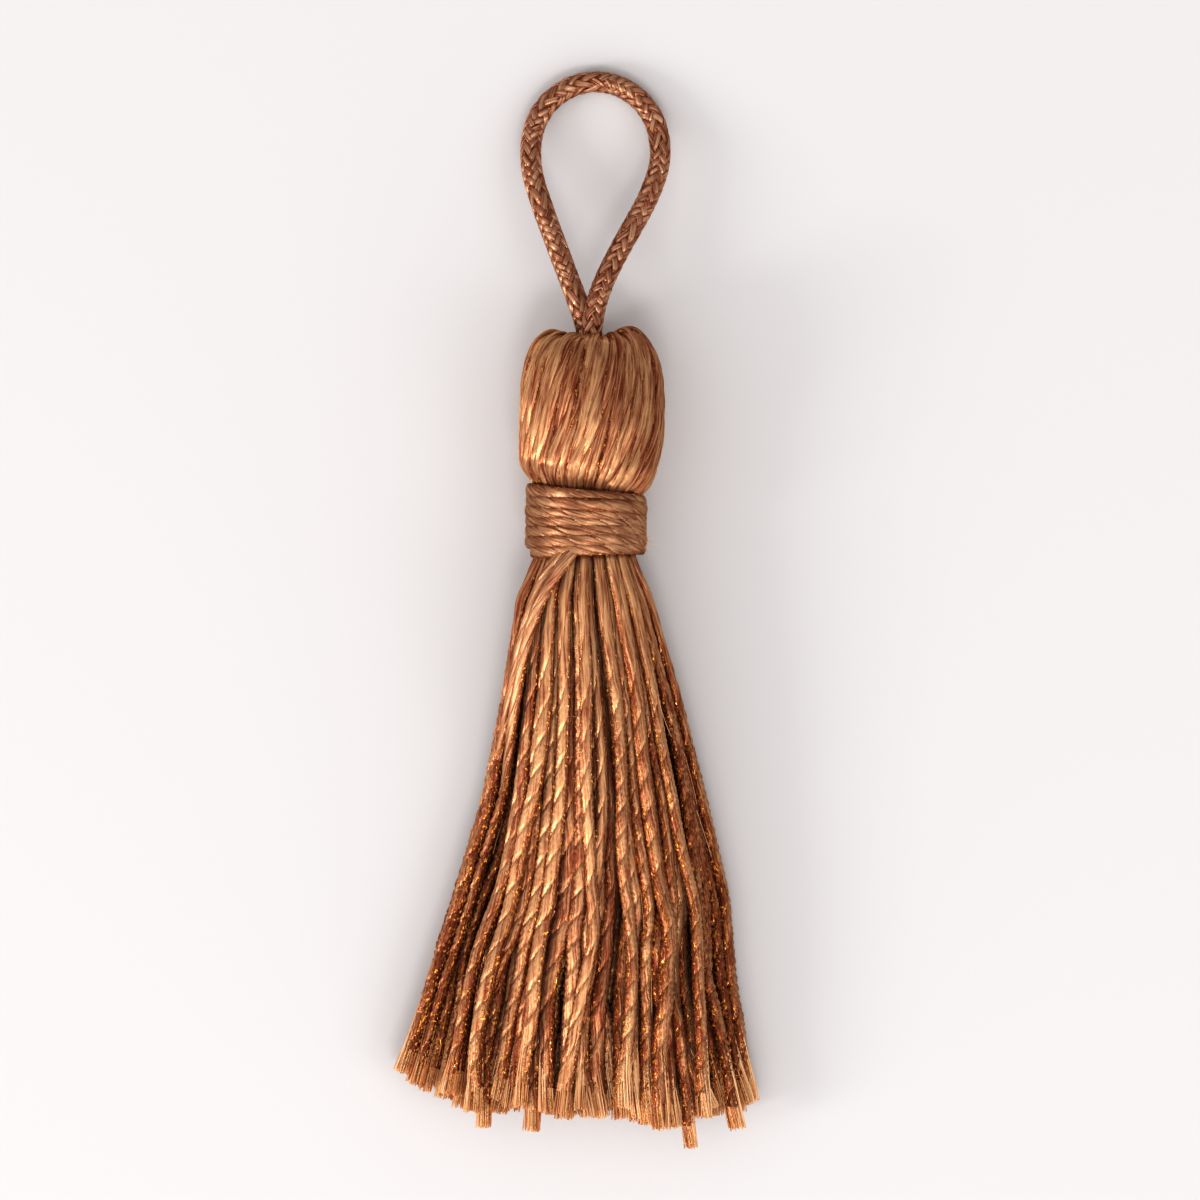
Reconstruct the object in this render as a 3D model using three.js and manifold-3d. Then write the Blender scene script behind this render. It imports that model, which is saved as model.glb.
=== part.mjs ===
// A three inch rayon yarn tassel with a one inch braided hanging loop, lying on its back.
// Millimetres. +Y runs along the tassel towards its loop, +Z is up from the surface that it lies on,
// and the origin is on that surface, under the middle of the head and skirt.
import * as THREE from "three";
import { mergeVertices } from "three/addons/utils/BufferGeometryUtils.js";
import Module from "manifold-3d";

const wasm = await Module();
wasm.setup();

// Driving dimensions
const GAP = 0.3;
const AXIS_HEIGHT = 6.2;
const NECK_X = 0.74;
const HEAD_X = 1.3;

const HEAD_YARNS = 22;
const HEAD_TOP = 38.1;
const HEAD_BELLY_Y = 29.5;
const HEAD_DEPTH_SHARE = 0.97;
const HEAD_TWIST = -0.42;
const YARN_GROOVE = 0.42;
const YARN_CROWN_VARIES = 0.2;
const YARN_WIDTH_VARIES = 0.35;

const NECK_RADIUS = 4.45;
const SEAT_Y = 23.3;
const SEAT_SLOPE = 0.15;

const BINDING_TURNS = 6;
const BINDING_LOW = 16.9;
const BINDING_HIGH = 22.95;
const BINDING_CROWN = 5.57;
const BINDING_VALLEY = 5.22;
const BINDING_SIDES = 30;
const TAIL_WIDTH = 1.2;
const TAIL_THICKNESS = 0.6;

const YARN_WIDTH = 1.3;
const YARN_SHARE_OF_PITCH = 0.78;
const LAYER_PITCH = 1.35;
const YARN_SCATTER = 0.1;
const SWAY = 0.3;
const END_VARIES = 0.9;
const SHORTER_UNDER = 1.6;

const CORD_RADIUS = 0.95;
const BRAID_RELIEF = 0.05;
const BRAID_PITCH = 1.1;
const CORD_SIDES = 8;
const SOCKET = { x: 1.05, lower: 5.25, upper: 7.35, floor: 34.2 };

// The head's outline, from the dimple in its top, over its crown and belly, to the neck and the plug
// of yarn roots inside the skirt.
const HEAD_OUTLINE = [
  { radius: 0, y: 34.6 },
  { radius: 1.2, y: 35.4 },
  { radius: 2.1, y: 37.2 },
  { radius: 3.2, y: 37.85 },
  { radius: 4.4, y: 37.6 },
  { radius: 5.4, y: 36.7 },
  { radius: 6.15, y: 35.1 },
  { radius: 6.6, y: 33.1 },
  { radius: 6.85, y: 30.9 },
  { radius: 6.87, y: 28.8 },
  { radius: 6.66, y: 26.8 },
  { radius: 6.4, y: 25.0 },
  { radius: 5.8, y: 23.8 },
  { radius: NECK_RADIUS, y: SEAT_Y },
  { radius: NECK_RADIUS, y: 20.0 },
  { radius: NECK_RADIUS, y: 16.6 },
  { radius: 3.4, y: 14.6 },
  { radius: 1.9, y: 12.6 },
  { radius: 0, y: 11.8 },
];
const HEAD_YARN_ROWS = { first: 2, last: 12 };

// The skirt's outer surface, a row for each section: its left and right edge, the height of its
// underside and of its top, and how far it has settled, from 0 for round to 1 for flat underneath.
const SKIRT_SECTIONS = [
  { y: 17.8, left: -3.0, right: 4.5, under: 2.45, top: 9.95, settled: 0 },
  { y: 16.4, left: -4.1, right: 5.5, under: 1.4, top: 11.0, settled: 0 },
  { y: 12.8, left: -5.75, right: 7.05, under: 0.55, top: 11.1, settled: 0.25 },
  { y: 3.5, left: -7.25, right: 9.75, under: 0, top: 10.6, settled: 0.7 },
  { y: -5.8, left: -9.1, right: 12.05, under: 0, top: 9.9, settled: 0.9 },
  { y: -15.1, left: -11.7, right: 14.2, under: 0, top: 9.2, settled: 1 },
  { y: -22.5, left: -14.1, right: 14.75, under: 0, top: 8.7, settled: 1 },
  { y: -29.9, left: -16.4, right: 16.05, under: 0, top: 8.2, settled: 1 },
  { y: -38.0, left: -18.0, right: 17.3, under: 0, top: 7.8, settled: 1 },
];

// The rings of yarns in the skirt, from its skin inwards, and the heights at which their roots start.
const SKIRT_RINGS = [
  { yarns: 48, root: 17.6 },
  { yarns: 40, root: 16.2 },
  { yarns: 26, root: 14.8 },
];
const YARN_STATIONS = [12.8, 2.5, -11, -23];

// A yarn's corners, across the skirt and outwards, in halves of its width and thickness: level where it
// rests on the surface, and with an edge outwards elsewhere.
const LEVEL_CORNERS = [[0.6, -1], [1, 1], [-1, 1], [-0.6, -1]];
const EDGE_CORNERS = [[1.12, 0], [0, 1], [-1.12, 0], [0, -1]];

// Where the skirt was cut, from its left to its right.
const CUT_LINE = [
  { x: -17.2, y: -30.3 },
  { x: -13.7, y: -32.6 },
  { x: -10.0, y: -34.0 },
  { x: -0.7, y: -34.6 },
  { x: 3.9, y: -34.6 },
  { x: 7.6, y: -35.6 },
  { x: 11.3, y: -35.0 },
  { x: 14.6, y: -34.4 },
  { x: 16.9, y: -33.0 },
];
// The yarns on top that the shears missed.
const LONG_YARNS = [
  { x: -8.7, y: -36.1 },
  { x: -3.9, y: -36.5 },
  { x: 10.0, y: -38.1 },
  { x: 14.6, y: -36.5 },
];

// The finishing end of the binding yarn, laid over the skirt: its share of the way round from the
// top of the skirt, with the left negative, and the room under it.
const BINDING_TAIL = [
  { y: 18.2, share: -0.02, lift: 0.95 },
  { y: 16.9, share: -0.05, lift: 0.7 },
  { y: 15.2, share: -0.085, lift: 0.4 },
  { y: 12.6, share: -0.12, lift: GAP },
  { y: 9.4, share: -0.14, lift: GAP },
];

// The middle of the braided cord, from its left end in the head, round the loop, to its right end.
const LOOP_ROUTE = [
  { x: 1.0, y: 34.6, z: 5.25 },
  { x: 0.95, y: 36.4, z: 5.25 },
  { x: 0.65, y: 38.4, z: 5.2 },
  { x: 0.0, y: 40.4, z: 5.05 },
  { x: -0.75, y: 42.4, z: 4.8 },
  { x: -1.5, y: 44.4, z: 4.5 },
  { x: -2.2, y: 46.3, z: 4.15 },
  { x: -2.9, y: 48.2, z: 3.75 },
  { x: -3.55, y: 50.1, z: 3.3 },
  { x: -4.1, y: 51.9, z: 2.85 },
  { x: -4.4, y: 53.7, z: 2.4 },
  { x: -4.35, y: 55.7, z: 1.9 },
  { x: -3.8, y: 57.7, z: 1.5 },
  { x: -2.55, y: 59.5, z: 1.2 },
  { x: -0.6, y: 60.8, z: 1.03 },
  { x: 1.65, y: 61.25, z: 1.0 },
  { x: 3.9, y: 60.8, z: 1.03 },
  { x: 5.8, y: 59.5, z: 1.25 },
  { x: 7.05, y: 57.7, z: 1.6 },
  { x: 7.6, y: 55.6, z: 2.15 },
  { x: 7.6, y: 53.6, z: 2.75 },
  { x: 7.1, y: 51.7, z: 3.35 },
  { x: 6.3, y: 49.8, z: 3.95 },
  { x: 5.35, y: 48.0, z: 4.55 },
  { x: 4.35, y: 46.2, z: 5.15 },
  { x: 3.35, y: 44.3, z: 5.7 },
  { x: 2.45, y: 42.4, z: 6.25 },
  { x: 1.75, y: 40.4, z: 6.75 },
  { x: 1.35, y: 38.4, z: 7.15 },
  { x: 1.2, y: 36.4, z: 7.35 },
  { x: 1.15, y: 34.6, z: 7.35 },
];

// A number from 0 to 1 that is the same for the same seed, for the unevenness of hand work.
function uneven(seed) {
  const wave = Math.sin(seed * 12.9898 + 4.1414) * 43758.5453;
  return wave - Math.floor(wave);
}

// The value of one column of a table at a place on another column, on straight lines between rows.
function along(table, by, place, column) {
  const rising = table[table.length - 1][by] > table[0][by];
  let row = 0;
  const passed = (value) => (rising ? value < place : value > place);
  while (row < table.length - 2 && passed(table[row + 1][by])) {
    row += 1;
  }
  const from = table[row];
  const to = table[row + 1];
  const share = THREE.MathUtils.clamp((place - from[by]) / (to[by] - from[by]), 0, 1);
  return THREE.MathUtils.lerp(from[column], to[column], share);
}

// A closed geometry through rings of points, with a flat cap at each end.
function loft(rings) {
  const sides = rings[0].length;
  const positions = rings.flat().flatMap((p) => [p.x, p.y, p.z]);
  const faces = [];
  for (let ring = 0; ring < rings.length - 1; ring += 1) {
    for (let side = 0; side < sides; side += 1) {
      const a = ring * sides + side;
      const b = ring * sides + ((side + 1) % sides);
      faces.push(a, b, a + sides, b, b + sides, a + sides);
    }
  }
  const end = (rings.length - 1) * sides;
  for (let side = 1; side < sides - 1; side += 1) {
    faces.push(0, side + 1, side);
    faces.push(end, end + side, end + side + 1);
  }
  const geometry = new THREE.BufferGeometry();
  geometry.setAttribute("position", new THREE.Float32BufferAttribute(positions, 3));
  geometry.setIndex(faces);
  return geometry;
}

// A three.js geometry as a solid that can be joined and cut.
function solidOf(geometry) {
  const bare = geometry.clone();
  bare.deleteAttribute("normal");
  bare.deleteAttribute("uv");
  const merged = mergeVertices(bare, 1e-4);
  const vertProperties = new Float32Array(merged.attributes.position.array);
  const triVerts = new Uint32Array(merged.index.array);
  return new wasm.Manifold(new wasm.Mesh({ numProp: 3, vertProperties, triVerts }));
}

// A joined or cut solid as a three.js geometry again.
function geometryOf(solid) {
  const mesh = solid.getMesh();
  const geometry = new THREE.BufferGeometry();
  const positions = new Float32Array(mesh.numVert * 3);
  for (let vertex = 0; vertex < mesh.numVert; vertex += 1) {
    for (let axis = 0; axis < 3; axis += 1) {
      positions[vertex * 3 + axis] = mesh.vertProperties[vertex * mesh.numProp + axis];
    }
  }
  geometry.setAttribute("position", new THREE.BufferAttribute(positions, 3));
  geometry.setIndex(new THREE.BufferAttribute(new Uint32Array(mesh.triVerts), 1));
  geometry.computeVertexNormals();
  return geometry;
}

// Moves every point of a lathed geometry to where reshape(radius, angle, y) says.
function reshaped(geometry, reshape) {
  const position = geometry.getAttribute("position");
  for (let i = 0; i < position.count; i += 1) {
    const radius = Math.hypot(position.getX(i), position.getZ(i));
    const angle = Math.atan2(position.getX(i), position.getZ(i));
    const moved = reshape(radius, angle, position.getY(i));
    position.setXYZ(i, moved.x, moved.y, moved.z);
  }
  return geometry;
}

// How much lower the head's seat and the top of the binding are at the right than at the middle.
function seatDrop(x, y) {
  const share = THREE.MathUtils.clamp((HEAD_BELLY_Y - y) / (HEAD_BELLY_Y - SEAT_Y), 0, 1);
  return SEAT_SLOPE * (x - NECK_X) * share;
}

// The head, neck and plug: a turned shape whose head has a groove between every two folded yarns,
// twists a little on its way down, and is pressed flat where it rests.
function headGeometry() {
  const points = HEAD_OUTLINE.map((row) => new THREE.Vector2(row.radius, row.y));
  const lathe = new THREE.LatheGeometry(points.reverse(), HEAD_YARNS * 3);
  const yarnRows = HEAD_OUTLINE.slice(HEAD_YARN_ROWS.first, HEAD_YARN_ROWS.last + 1).map((row) => row.y);
  const pitch = (2 * Math.PI) / HEAD_YARNS;
  return reshaped(lathe, (radius, angle, y) => {
    const step = Math.round((angle / pitch) * 3 + HEAD_YARNS * 3) % (HEAD_YARNS * 3);
    const yarn = Math.floor(step / 3);
    const onYarns = radius > 1.9 && yarnRows.some((rowY) => Math.abs(rowY - y) < 0.01);
    let r = radius;
    const wayDown = THREE.MathUtils.clamp((HEAD_TOP - y) / (HEAD_TOP - SEAT_Y), 0, 1);
    let turned = angle + HEAD_TWIST * wayDown;
    if (onYarns) {
      const depth = THREE.MathUtils.smoothstep(radius, 1.5, 5);
      const inGroove = step % 3 === 0;
      const crown = (uneven(yarn) - 0.5) * YARN_CROWN_VARIES;
      r += depth * (inGroove ? -YARN_GROOVE * (0.6 + 0.8 * uneven(yarn + 90)) : crown);
      turned += inGroove ? (uneven(yarn + 50) - 0.5) * YARN_WIDTH_VARIES * pitch : 0;
    }
    const toHead = THREE.MathUtils.smoothstep(y, SEAT_Y, HEAD_BELLY_Y);
    const x = THREE.MathUtils.lerp(NECK_X, HEAD_X, toHead) + r * Math.sin(turned);
    const depthShare = THREE.MathUtils.lerp(1, HEAD_DEPTH_SHARE, toHead);
    const z = AXIS_HEIGHT + r * Math.cos(turned) * depthShare;
    const onCrown = THREE.MathUtils.smoothstep(y, 36, 37.5);
    const shoulder = onCrown * THREE.MathUtils.smoothstep(radius, 1.5, 3);
    const lobes = 0.25 * Math.cos(2 * turned - Math.PI) + 0.15 * Math.sin(turned);
    const seated = y > 16 ? seatDrop(x, y) : 0;
    return { x, y: y + shoulder * lobes - seated, z: Math.max(z, 0) };
  });
}

// The skirt's surface at one height, as one row.
function sectionAt(y) {
  const row = {};
  for (const column of ["left", "right", "under", "top", "settled"]) {
    row[column] = along(SKIRT_SECTIONS, "y", y, column);
  }
  return row;
}

// How far up a section a point is, from 0 to 1, for the cosine of its angle from the top: a circle
// before it has settled, and flat underneath with its widest place low down once it has.
function riseAt(cosine, settled) {
  const widest = THREE.MathUtils.lerp(0.5, 0.36, settled);
  if (cosine >= 0) {
    return widest + (1 - widest) * cosine;
  }
  const roundness = THREE.MathUtils.lerp(1, 0.5, settled);
  const drop = THREE.MathUtils.lerp(1, 1.25, settled) * Math.abs(cosine) ** roundness;
  return widest * (1 - Math.min(1, drop));
}

// The closed curve that the middles of one ring of yarns make at one height, as points with their
// distance along it, from the top of the skirt round by its right.
function ringCurve(section, inset) {
  const samples = 96;
  const sideInset = inset * (1 + 0.8 * section.settled);
  const half = (section.right - section.left) / 2 - sideInset;
  const height = section.top - section.under - 2 * inset;
  const points = [];
  let length = 0;
  for (let i = 0; i <= samples; i += 1) {
    const angle = (2 * Math.PI * i) / samples;
    const x = (section.left + section.right) / 2 + half * Math.sin(angle);
    const z = section.under + inset + height * riseAt(Math.cos(angle), section.settled);
    if (i > 0) {
      length += Math.hypot(x - points[i - 1].x, z - points[i - 1].z);
    }
    points.push({ x, z, length });
  }
  return points;
}

// The place at a share of the way round a ring, and its outward direction.
function placeOn(curve, share) {
  const whole = curve[curve.length - 1].length;
  const wrapped = ((share % 1) + 1) % 1;
  const x = along(curve, "length", wrapped * whole, "x");
  const z = along(curve, "length", wrapped * whole, "z");
  return { x, z, whole };
}

// One yarn of the skirt, with four sides.
function skirtYarn(ring, number) {
  const { yarns, root } = SKIRT_RINGS[ring];
  const share = (number + 0.5 + YARN_SCATTER * (uneven(ring * 71 + number) - 0.5)) / yarns;
  const endPlace = placeOn(ringCurve(sectionAt(-33), ring * LAYER_PITCH), share);
  const onSurface = ring === 0 && endPlace.z < 0.5;
  const onTop = ring === 0 && endPlace.z > 2;
  const missed = LONG_YARNS.find((row) => onTop && Math.abs(row.x - endPlace.x) < 0.6);
  const unevenCut = END_VARIES * (uneven(ring * 17 + number * 7) - 0.35);
  const cut = along(CUT_LINE, "x", endPlace.x, "y") + unevenCut;
  const end = missed ? missed.y : cut + (onSurface ? SHORTER_UNDER : 0);
  const corners = onSurface ? LEVEL_CORNERS : EDGE_CORNERS;
  const heights = [root, ...YARN_STATIONS.filter((y) => y < root - 0.5), end];
  const rings = heights.map((y) => {
    const section = sectionAt(y);
    const layer = Math.min(LAYER_PITCH, (section.top - section.under) / 2 / (SKIRT_RINGS.length + 0.1));
    const pitch = placeOn(ringCurve(section, layer * (ring + 0.5)), share).whole / yarns;
    const width = Math.min(YARN_WIDTH, YARN_SHARE_OF_PITCH * pitch);
    const thickness = Math.min(YARN_WIDTH, YARN_SHARE_OF_PITCH * layer);
    const curve = ringCurve(section, layer * ring + thickness / 2);
    const free = THREE.MathUtils.clamp((12 - y) / 30, 0, 1);
    const swayed = share + (SWAY * free * Math.sin(y * 0.13 + share * 4 * Math.PI + ring)) / yarns;
    const place = placeOn(curve, swayed);
    const next = placeOn(curve, swayed + 0.002);
    const round = new THREE.Vector3(next.x - place.x, 0, next.z - place.z).normalize();
    const outward = new THREE.Vector3(-round.z, 0, round.x);
    return corners.map(([across, out]) => {
      const corner = new THREE.Vector3(place.x, y, place.z);
      corner.addScaledVector(round, (across * width) / 2);
      corner.addScaledVector(outward, (out * thickness) / 2);
      corner.z = Math.max(corner.z, 0);
      return corner;
    });
  });
  return loft(rings);
}

// The braided cord: a tube along its route with a step for every half plait, and the plaits raised.
function hangingLoop() {
  const curve = new THREE.CatmullRomCurve3(LOOP_ROUTE.map((p) => new THREE.Vector3(p.x, p.y, p.z)));
  const steps = Math.round(curve.getLength() / (BRAID_PITCH / 2));
  curve.arcLengthDivisions = steps * 8;
  curve.updateArcLengths();
  const frames = curve.computeFrenetFrames(steps, false);
  const rings = curve.getSpacedPoints(steps).map((middle, step) => {
    const ring = [];
    for (let side = 0; side < CORD_SIDES; side += 1) {
      const angle = (2 * Math.PI * side) / CORD_SIDES;
      const radius = CORD_RADIUS + ((step + side) % 2 === 0 ? BRAID_RELIEF : -BRAID_RELIEF);
      const point = middle.clone();
      point.addScaledVector(frames.normals[step], radius * Math.cos(angle));
      point.addScaledVector(frames.binormals[step], radius * Math.sin(angle));
      ring.push(point);
    }
    return ring;
  });
  return loft(rings);
}

// The socket in the top of the head that both ends of the cord go down into, one above the other.
function cordSocket() {
  const radius = CORD_RADIUS + BRAID_RELIEF + GAP + 0.2;
  const outline = new THREE.Shape();
  outline.absarc(SOCKET.x, SOCKET.upper, radius, 0, Math.PI, false);
  outline.absarc(SOCKET.x, SOCKET.lower, radius, Math.PI, 2 * Math.PI, false);
  const depth = HEAD_TOP + 2 - SOCKET.floor;
  const socket = new THREE.ExtrudeGeometry(outline, { depth, bevelEnabled: false, curveSegments: 6 });
  socket.rotateX(Math.PI / 2);
  return socket.translate(0, SOCKET.floor + depth, 0);
}

// The folded hank: the head, and the yarns of the skirt fused into its neck.
function yarnBundle() {
  let bundle = solidOf(headGeometry()).subtract(solidOf(cordSocket()));
  SKIRT_RINGS.forEach(({ yarns }, ring) => {
    for (let number = 0; number < yarns; number += 1) {
      bundle = bundle.add(solidOf(skirtYarn(ring, number)));
    }
  });
  return geometryOf(bundle);
}

// The turns of the binding, as a turned ring with a ridge for each, uneven in height and reach.
function bindingTurns() {
  const pitch = (BINDING_HIGH - BINDING_LOW) / BINDING_TURNS;
  const inner = NECK_RADIUS + GAP;
  const outline = [new THREE.Vector2(inner, BINDING_LOW)];
  for (let turn = 0; turn < BINDING_TURNS; turn += 1) {
    const low = BINDING_LOW + turn * pitch;
    const crown = BINDING_CROWN + 0.16 * (uneven(turn + 7) - 0.5);
    outline.push(new THREE.Vector2(BINDING_VALLEY, low + 0.02));
    outline.push(new THREE.Vector2(crown, low + pitch * 0.3));
    outline.push(new THREE.Vector2(crown, low + pitch * 0.72));
  }
  outline.push(new THREE.Vector2(BINDING_VALLEY, BINDING_HIGH));
  outline.push(new THREE.Vector2(inner, BINDING_HIGH));
  outline.push(new THREE.Vector2(inner, BINDING_LOW));
  return reshaped(new THREE.LatheGeometry(outline, BINDING_SIDES), (radius, angle, y) => {
    const onSkin = THREE.MathUtils.smoothstep(radius, inner, BINDING_VALLEY);
    const reach = radius + onSkin * 0.07 * Math.sin(3 * angle + y * 1.7);
    const x = NECK_X + reach * Math.sin(angle);
    const rise = onSkin * 0.12 * Math.sin(2 * angle + y) * (y > 17.2 && y < 22.6 ? 1 : 0);
    const upper = THREE.MathUtils.clamp((y - BINDING_LOW) / (BINDING_HIGH - BINDING_LOW), 0, 1);
    return { x, y: y + rise - seatDrop(x, y) * upper, z: AXIS_HEIGHT + reach * Math.cos(angle) };
  });
}

// The finishing end of the binding yarn, clear of the skirt that it lies over.
function bindingTail() {
  const rings = BINDING_TAIL.map(({ y, share, lift }) => {
    const curve = ringCurve(sectionAt(y), -lift - TAIL_THICKNESS / 2);
    const middle = placeOn(curve, share);
    const next = placeOn(curve, share + 0.002);
    const round = new THREE.Vector3(next.x - middle.x, 0, next.z - middle.z).normalize();
    const outward = new THREE.Vector3(-round.z, 0, round.x);
    return LEVEL_CORNERS.map(([across, out]) => {
      const corner = new THREE.Vector3(middle.x, y, middle.z);
      corner.addScaledVector(round, (across * TAIL_WIDTH) / 2);
      return corner.addScaledVector(outward, (out * TAIL_THICKNESS) / 2);
    });
  });
  return loft(rings);
}

// The binding and its finishing end are one yarn.
function neckBinding() {
  return geometryOf(solidOf(bindingTurns()).add(solidOf(bindingTail())));
}

const rayon = { roughness: 0.42, metalness: 0.15 };
const yarnMaterial = new THREE.MeshStandardMaterial({ color: 0x8a5534, ...rayon });
const bindingMaterial = new THREE.MeshStandardMaterial({ color: 0x7c4a30, ...rayon });
const cordMaterial = new THREE.MeshStandardMaterial({ color: 0x6b3c26, ...rayon });

// One named mesh of the tassel.
function piece(name, geometry, material) {
  const mesh = new THREE.Mesh(geometry, material);
  mesh.name = name;
  return mesh;
}

const tassel = new THREE.Group();
tassel.add(piece("yarn_bundle", yarnBundle(), yarnMaterial));
tassel.add(piece("neck_binding", neckBinding(), bindingMaterial));
tassel.add(piece("hanging_loop", hangingLoop(), cordMaterial));

export default tassel;
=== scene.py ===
"""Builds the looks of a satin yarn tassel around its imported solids.

Every yarn is made of two twisted plies, the hanging loop is a round braid of sixteen strands, and the
satin finish gets its direction from the fibres. Sizes are in millimetres inside the classes, and
meshes are in metres.
"""

import logging
import math
from dataclasses import dataclass, field
from enum import Enum

import bpy
import numpy as np
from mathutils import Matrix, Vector


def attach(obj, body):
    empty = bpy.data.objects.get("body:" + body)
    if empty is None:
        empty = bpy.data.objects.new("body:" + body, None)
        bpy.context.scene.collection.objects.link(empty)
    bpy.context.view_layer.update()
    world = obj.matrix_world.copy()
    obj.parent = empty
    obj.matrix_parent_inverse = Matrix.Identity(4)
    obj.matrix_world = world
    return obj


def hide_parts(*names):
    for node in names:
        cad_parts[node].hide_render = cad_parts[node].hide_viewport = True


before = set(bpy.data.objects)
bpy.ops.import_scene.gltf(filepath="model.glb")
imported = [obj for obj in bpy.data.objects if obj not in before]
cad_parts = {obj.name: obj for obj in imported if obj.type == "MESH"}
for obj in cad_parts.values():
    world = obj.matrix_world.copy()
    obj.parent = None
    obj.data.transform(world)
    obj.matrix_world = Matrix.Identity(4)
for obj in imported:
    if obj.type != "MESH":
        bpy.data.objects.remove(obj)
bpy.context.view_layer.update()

log = logging.getLogger("tassel")

MM = 0.001
BODY = "root"
SEED = 7
PLIES = 2


class Hand(Enum):
    """Which way a yarn's plies wind."""

    Z_TWIST = 1.0


class Field(Enum):
    """Types of a named attribute, as Blender names them."""

    NUMBER = "FLOAT"
    VECTOR = "FLOAT_VECTOR"


def smoothstep(value: np.ndarray, low: float, high: float) -> np.ndarray:
    """Rises smoothly from 0 to 1.

    Args:
        value: The numbers to grade.
        low: Where the rise starts.
        high: Where the rise ends.

    Returns:
        A number from 0 to 1 for each value.
    """
    share = np.clip((np.asarray(value, float) - low) / (high - low), 0.0, 1.0)
    return share * share * (3.0 - 2.0 * share)


def unit(vectors: np.ndarray) -> np.ndarray:
    """Scales each vector along the last axis to length 1.

    Args:
        vectors: An array whose last axis holds a vector.

    Returns:
        The unit vectors.
    """
    return vectors / np.maximum(np.linalg.norm(vectors, axis=-1, keepdims=True), 1e-12)


def along(rows: list[tuple[float, ...]], place: np.ndarray, column: int) -> np.ndarray:
    """Reads one column of a table whose first column falls, on straight lines between its rows.

    Args:
        rows: The table, with the place in column 0, highest first.
        place: Where to read it.
        column: Which column to read.

    Returns:
        The column's value at each place.
    """
    places = [row[0] for row in rows][::-1]
    values = [row[column] for row in rows][::-1]
    return np.interp(place, places, values)


class NodeBench:
    """Adds and joins nodes in one tree, with short calls."""

    def __init__(self, tree: bpy.types.NodeTree) -> None:
        """Keeps the tree to work on."""
        self.tree = tree

    def node(self, kind: str, settings: dict | None = None, **inputs: object) -> bpy.types.Node:
        """Adds a node.

        Args:
            kind: The node's Blender type.
            settings: Properties of the node itself.
            **inputs: A value or an output socket for each input, by name with _ for a space.

        Returns:
            The new node.
        """
        made = self.tree.nodes.new(kind)
        for key, value in (settings or {}).items():
            setattr(made, key, value)
        for name, value in inputs.items():
            self.feed(made.inputs[name.replace("_", " ")], value)
        return made

    def feed(self, socket: bpy.types.NodeSocket, value: object) -> None:
        """Joins an output to an input, or sets the input's own value.

        Args:
            socket: The input.
            value: An output socket, or a plain value.
        """
        if isinstance(value, bpy.types.NodeSocket):
            self.tree.links.new(value, socket)
        else:
            socket.default_value = value

    def number(self, operation: str, *values: object) -> bpy.types.NodeSocket:
        """Adds a Math node.

        Args:
            operation: What it does.
            *values: Its inputs in order.

        Returns:
            Its output.
        """
        made = self.tree.nodes.new("ShaderNodeMath")
        made.operation = operation
        for socket, value in zip(made.inputs, values):
            self.feed(socket, value)
        return made.outputs[0]

    def vector(self, operation: str, *values: object) -> bpy.types.NodeSocket:
        """Adds a Vector Math node whose result is a vector.

        Args:
            operation: What it does.
            *values: Its inputs in order.

        Returns:
            Its vector output.
        """
        made = self.tree.nodes.new("ShaderNodeVectorMath")
        made.operation = operation
        for socket, value in zip(made.inputs, values):
            self.feed(socket, value)
        return made.outputs["Vector"]

    def dot(self, first: object, second: object) -> bpy.types.NodeSocket:
        """Adds a dot product.

        Args:
            first: One vector.
            second: The other vector.

        Returns:
            Its number output.
        """
        made = self.tree.nodes.new("ShaderNodeVectorMath")
        made.operation = "DOT_PRODUCT"
        self.feed(made.inputs[0], first)
        self.feed(made.inputs[1], second)
        return made.outputs["Value"]

    def scaled(self, vector: object, factor: object) -> bpy.types.NodeSocket:
        """Adds a vector times a number.

        Args:
            vector: The vector.
            factor: The number.

        Returns:
            The scaled vector.
        """
        made = self.tree.nodes.new("ShaderNodeVectorMath")
        made.operation = "SCALE"
        self.feed(made.inputs[0], vector)
        self.feed(made.inputs["Scale"], factor)
        return made.outputs["Vector"]

    def clamped(self, value: object, low: float = 0.0) -> bpy.types.NodeSocket:
        """Keeps a number from a lower limit to 1.

        Args:
            value: The number.
            low: The lower limit.

        Returns:
            The number inside its limits.
        """
        return self.number("MAXIMUM", low, self.number("MINIMUM", 1.0, value))

    def mixed(self, first: object, second: object, share: object) -> bpy.types.NodeSocket:
        """Mixes two colours.

        Args:
            first: The colour where the share is 0.
            second: The colour where it is 1.
            share: The share of the second.

        Returns:
            The mixed colour.
        """
        made = self.tree.nodes.new("ShaderNodeMix")
        made.data_type = "RGBA"
        self.feed(made.inputs[0], share)
        self.feed(made.inputs[6], first)
        self.feed(made.inputs[7], second)
        return made.outputs[2]


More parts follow.
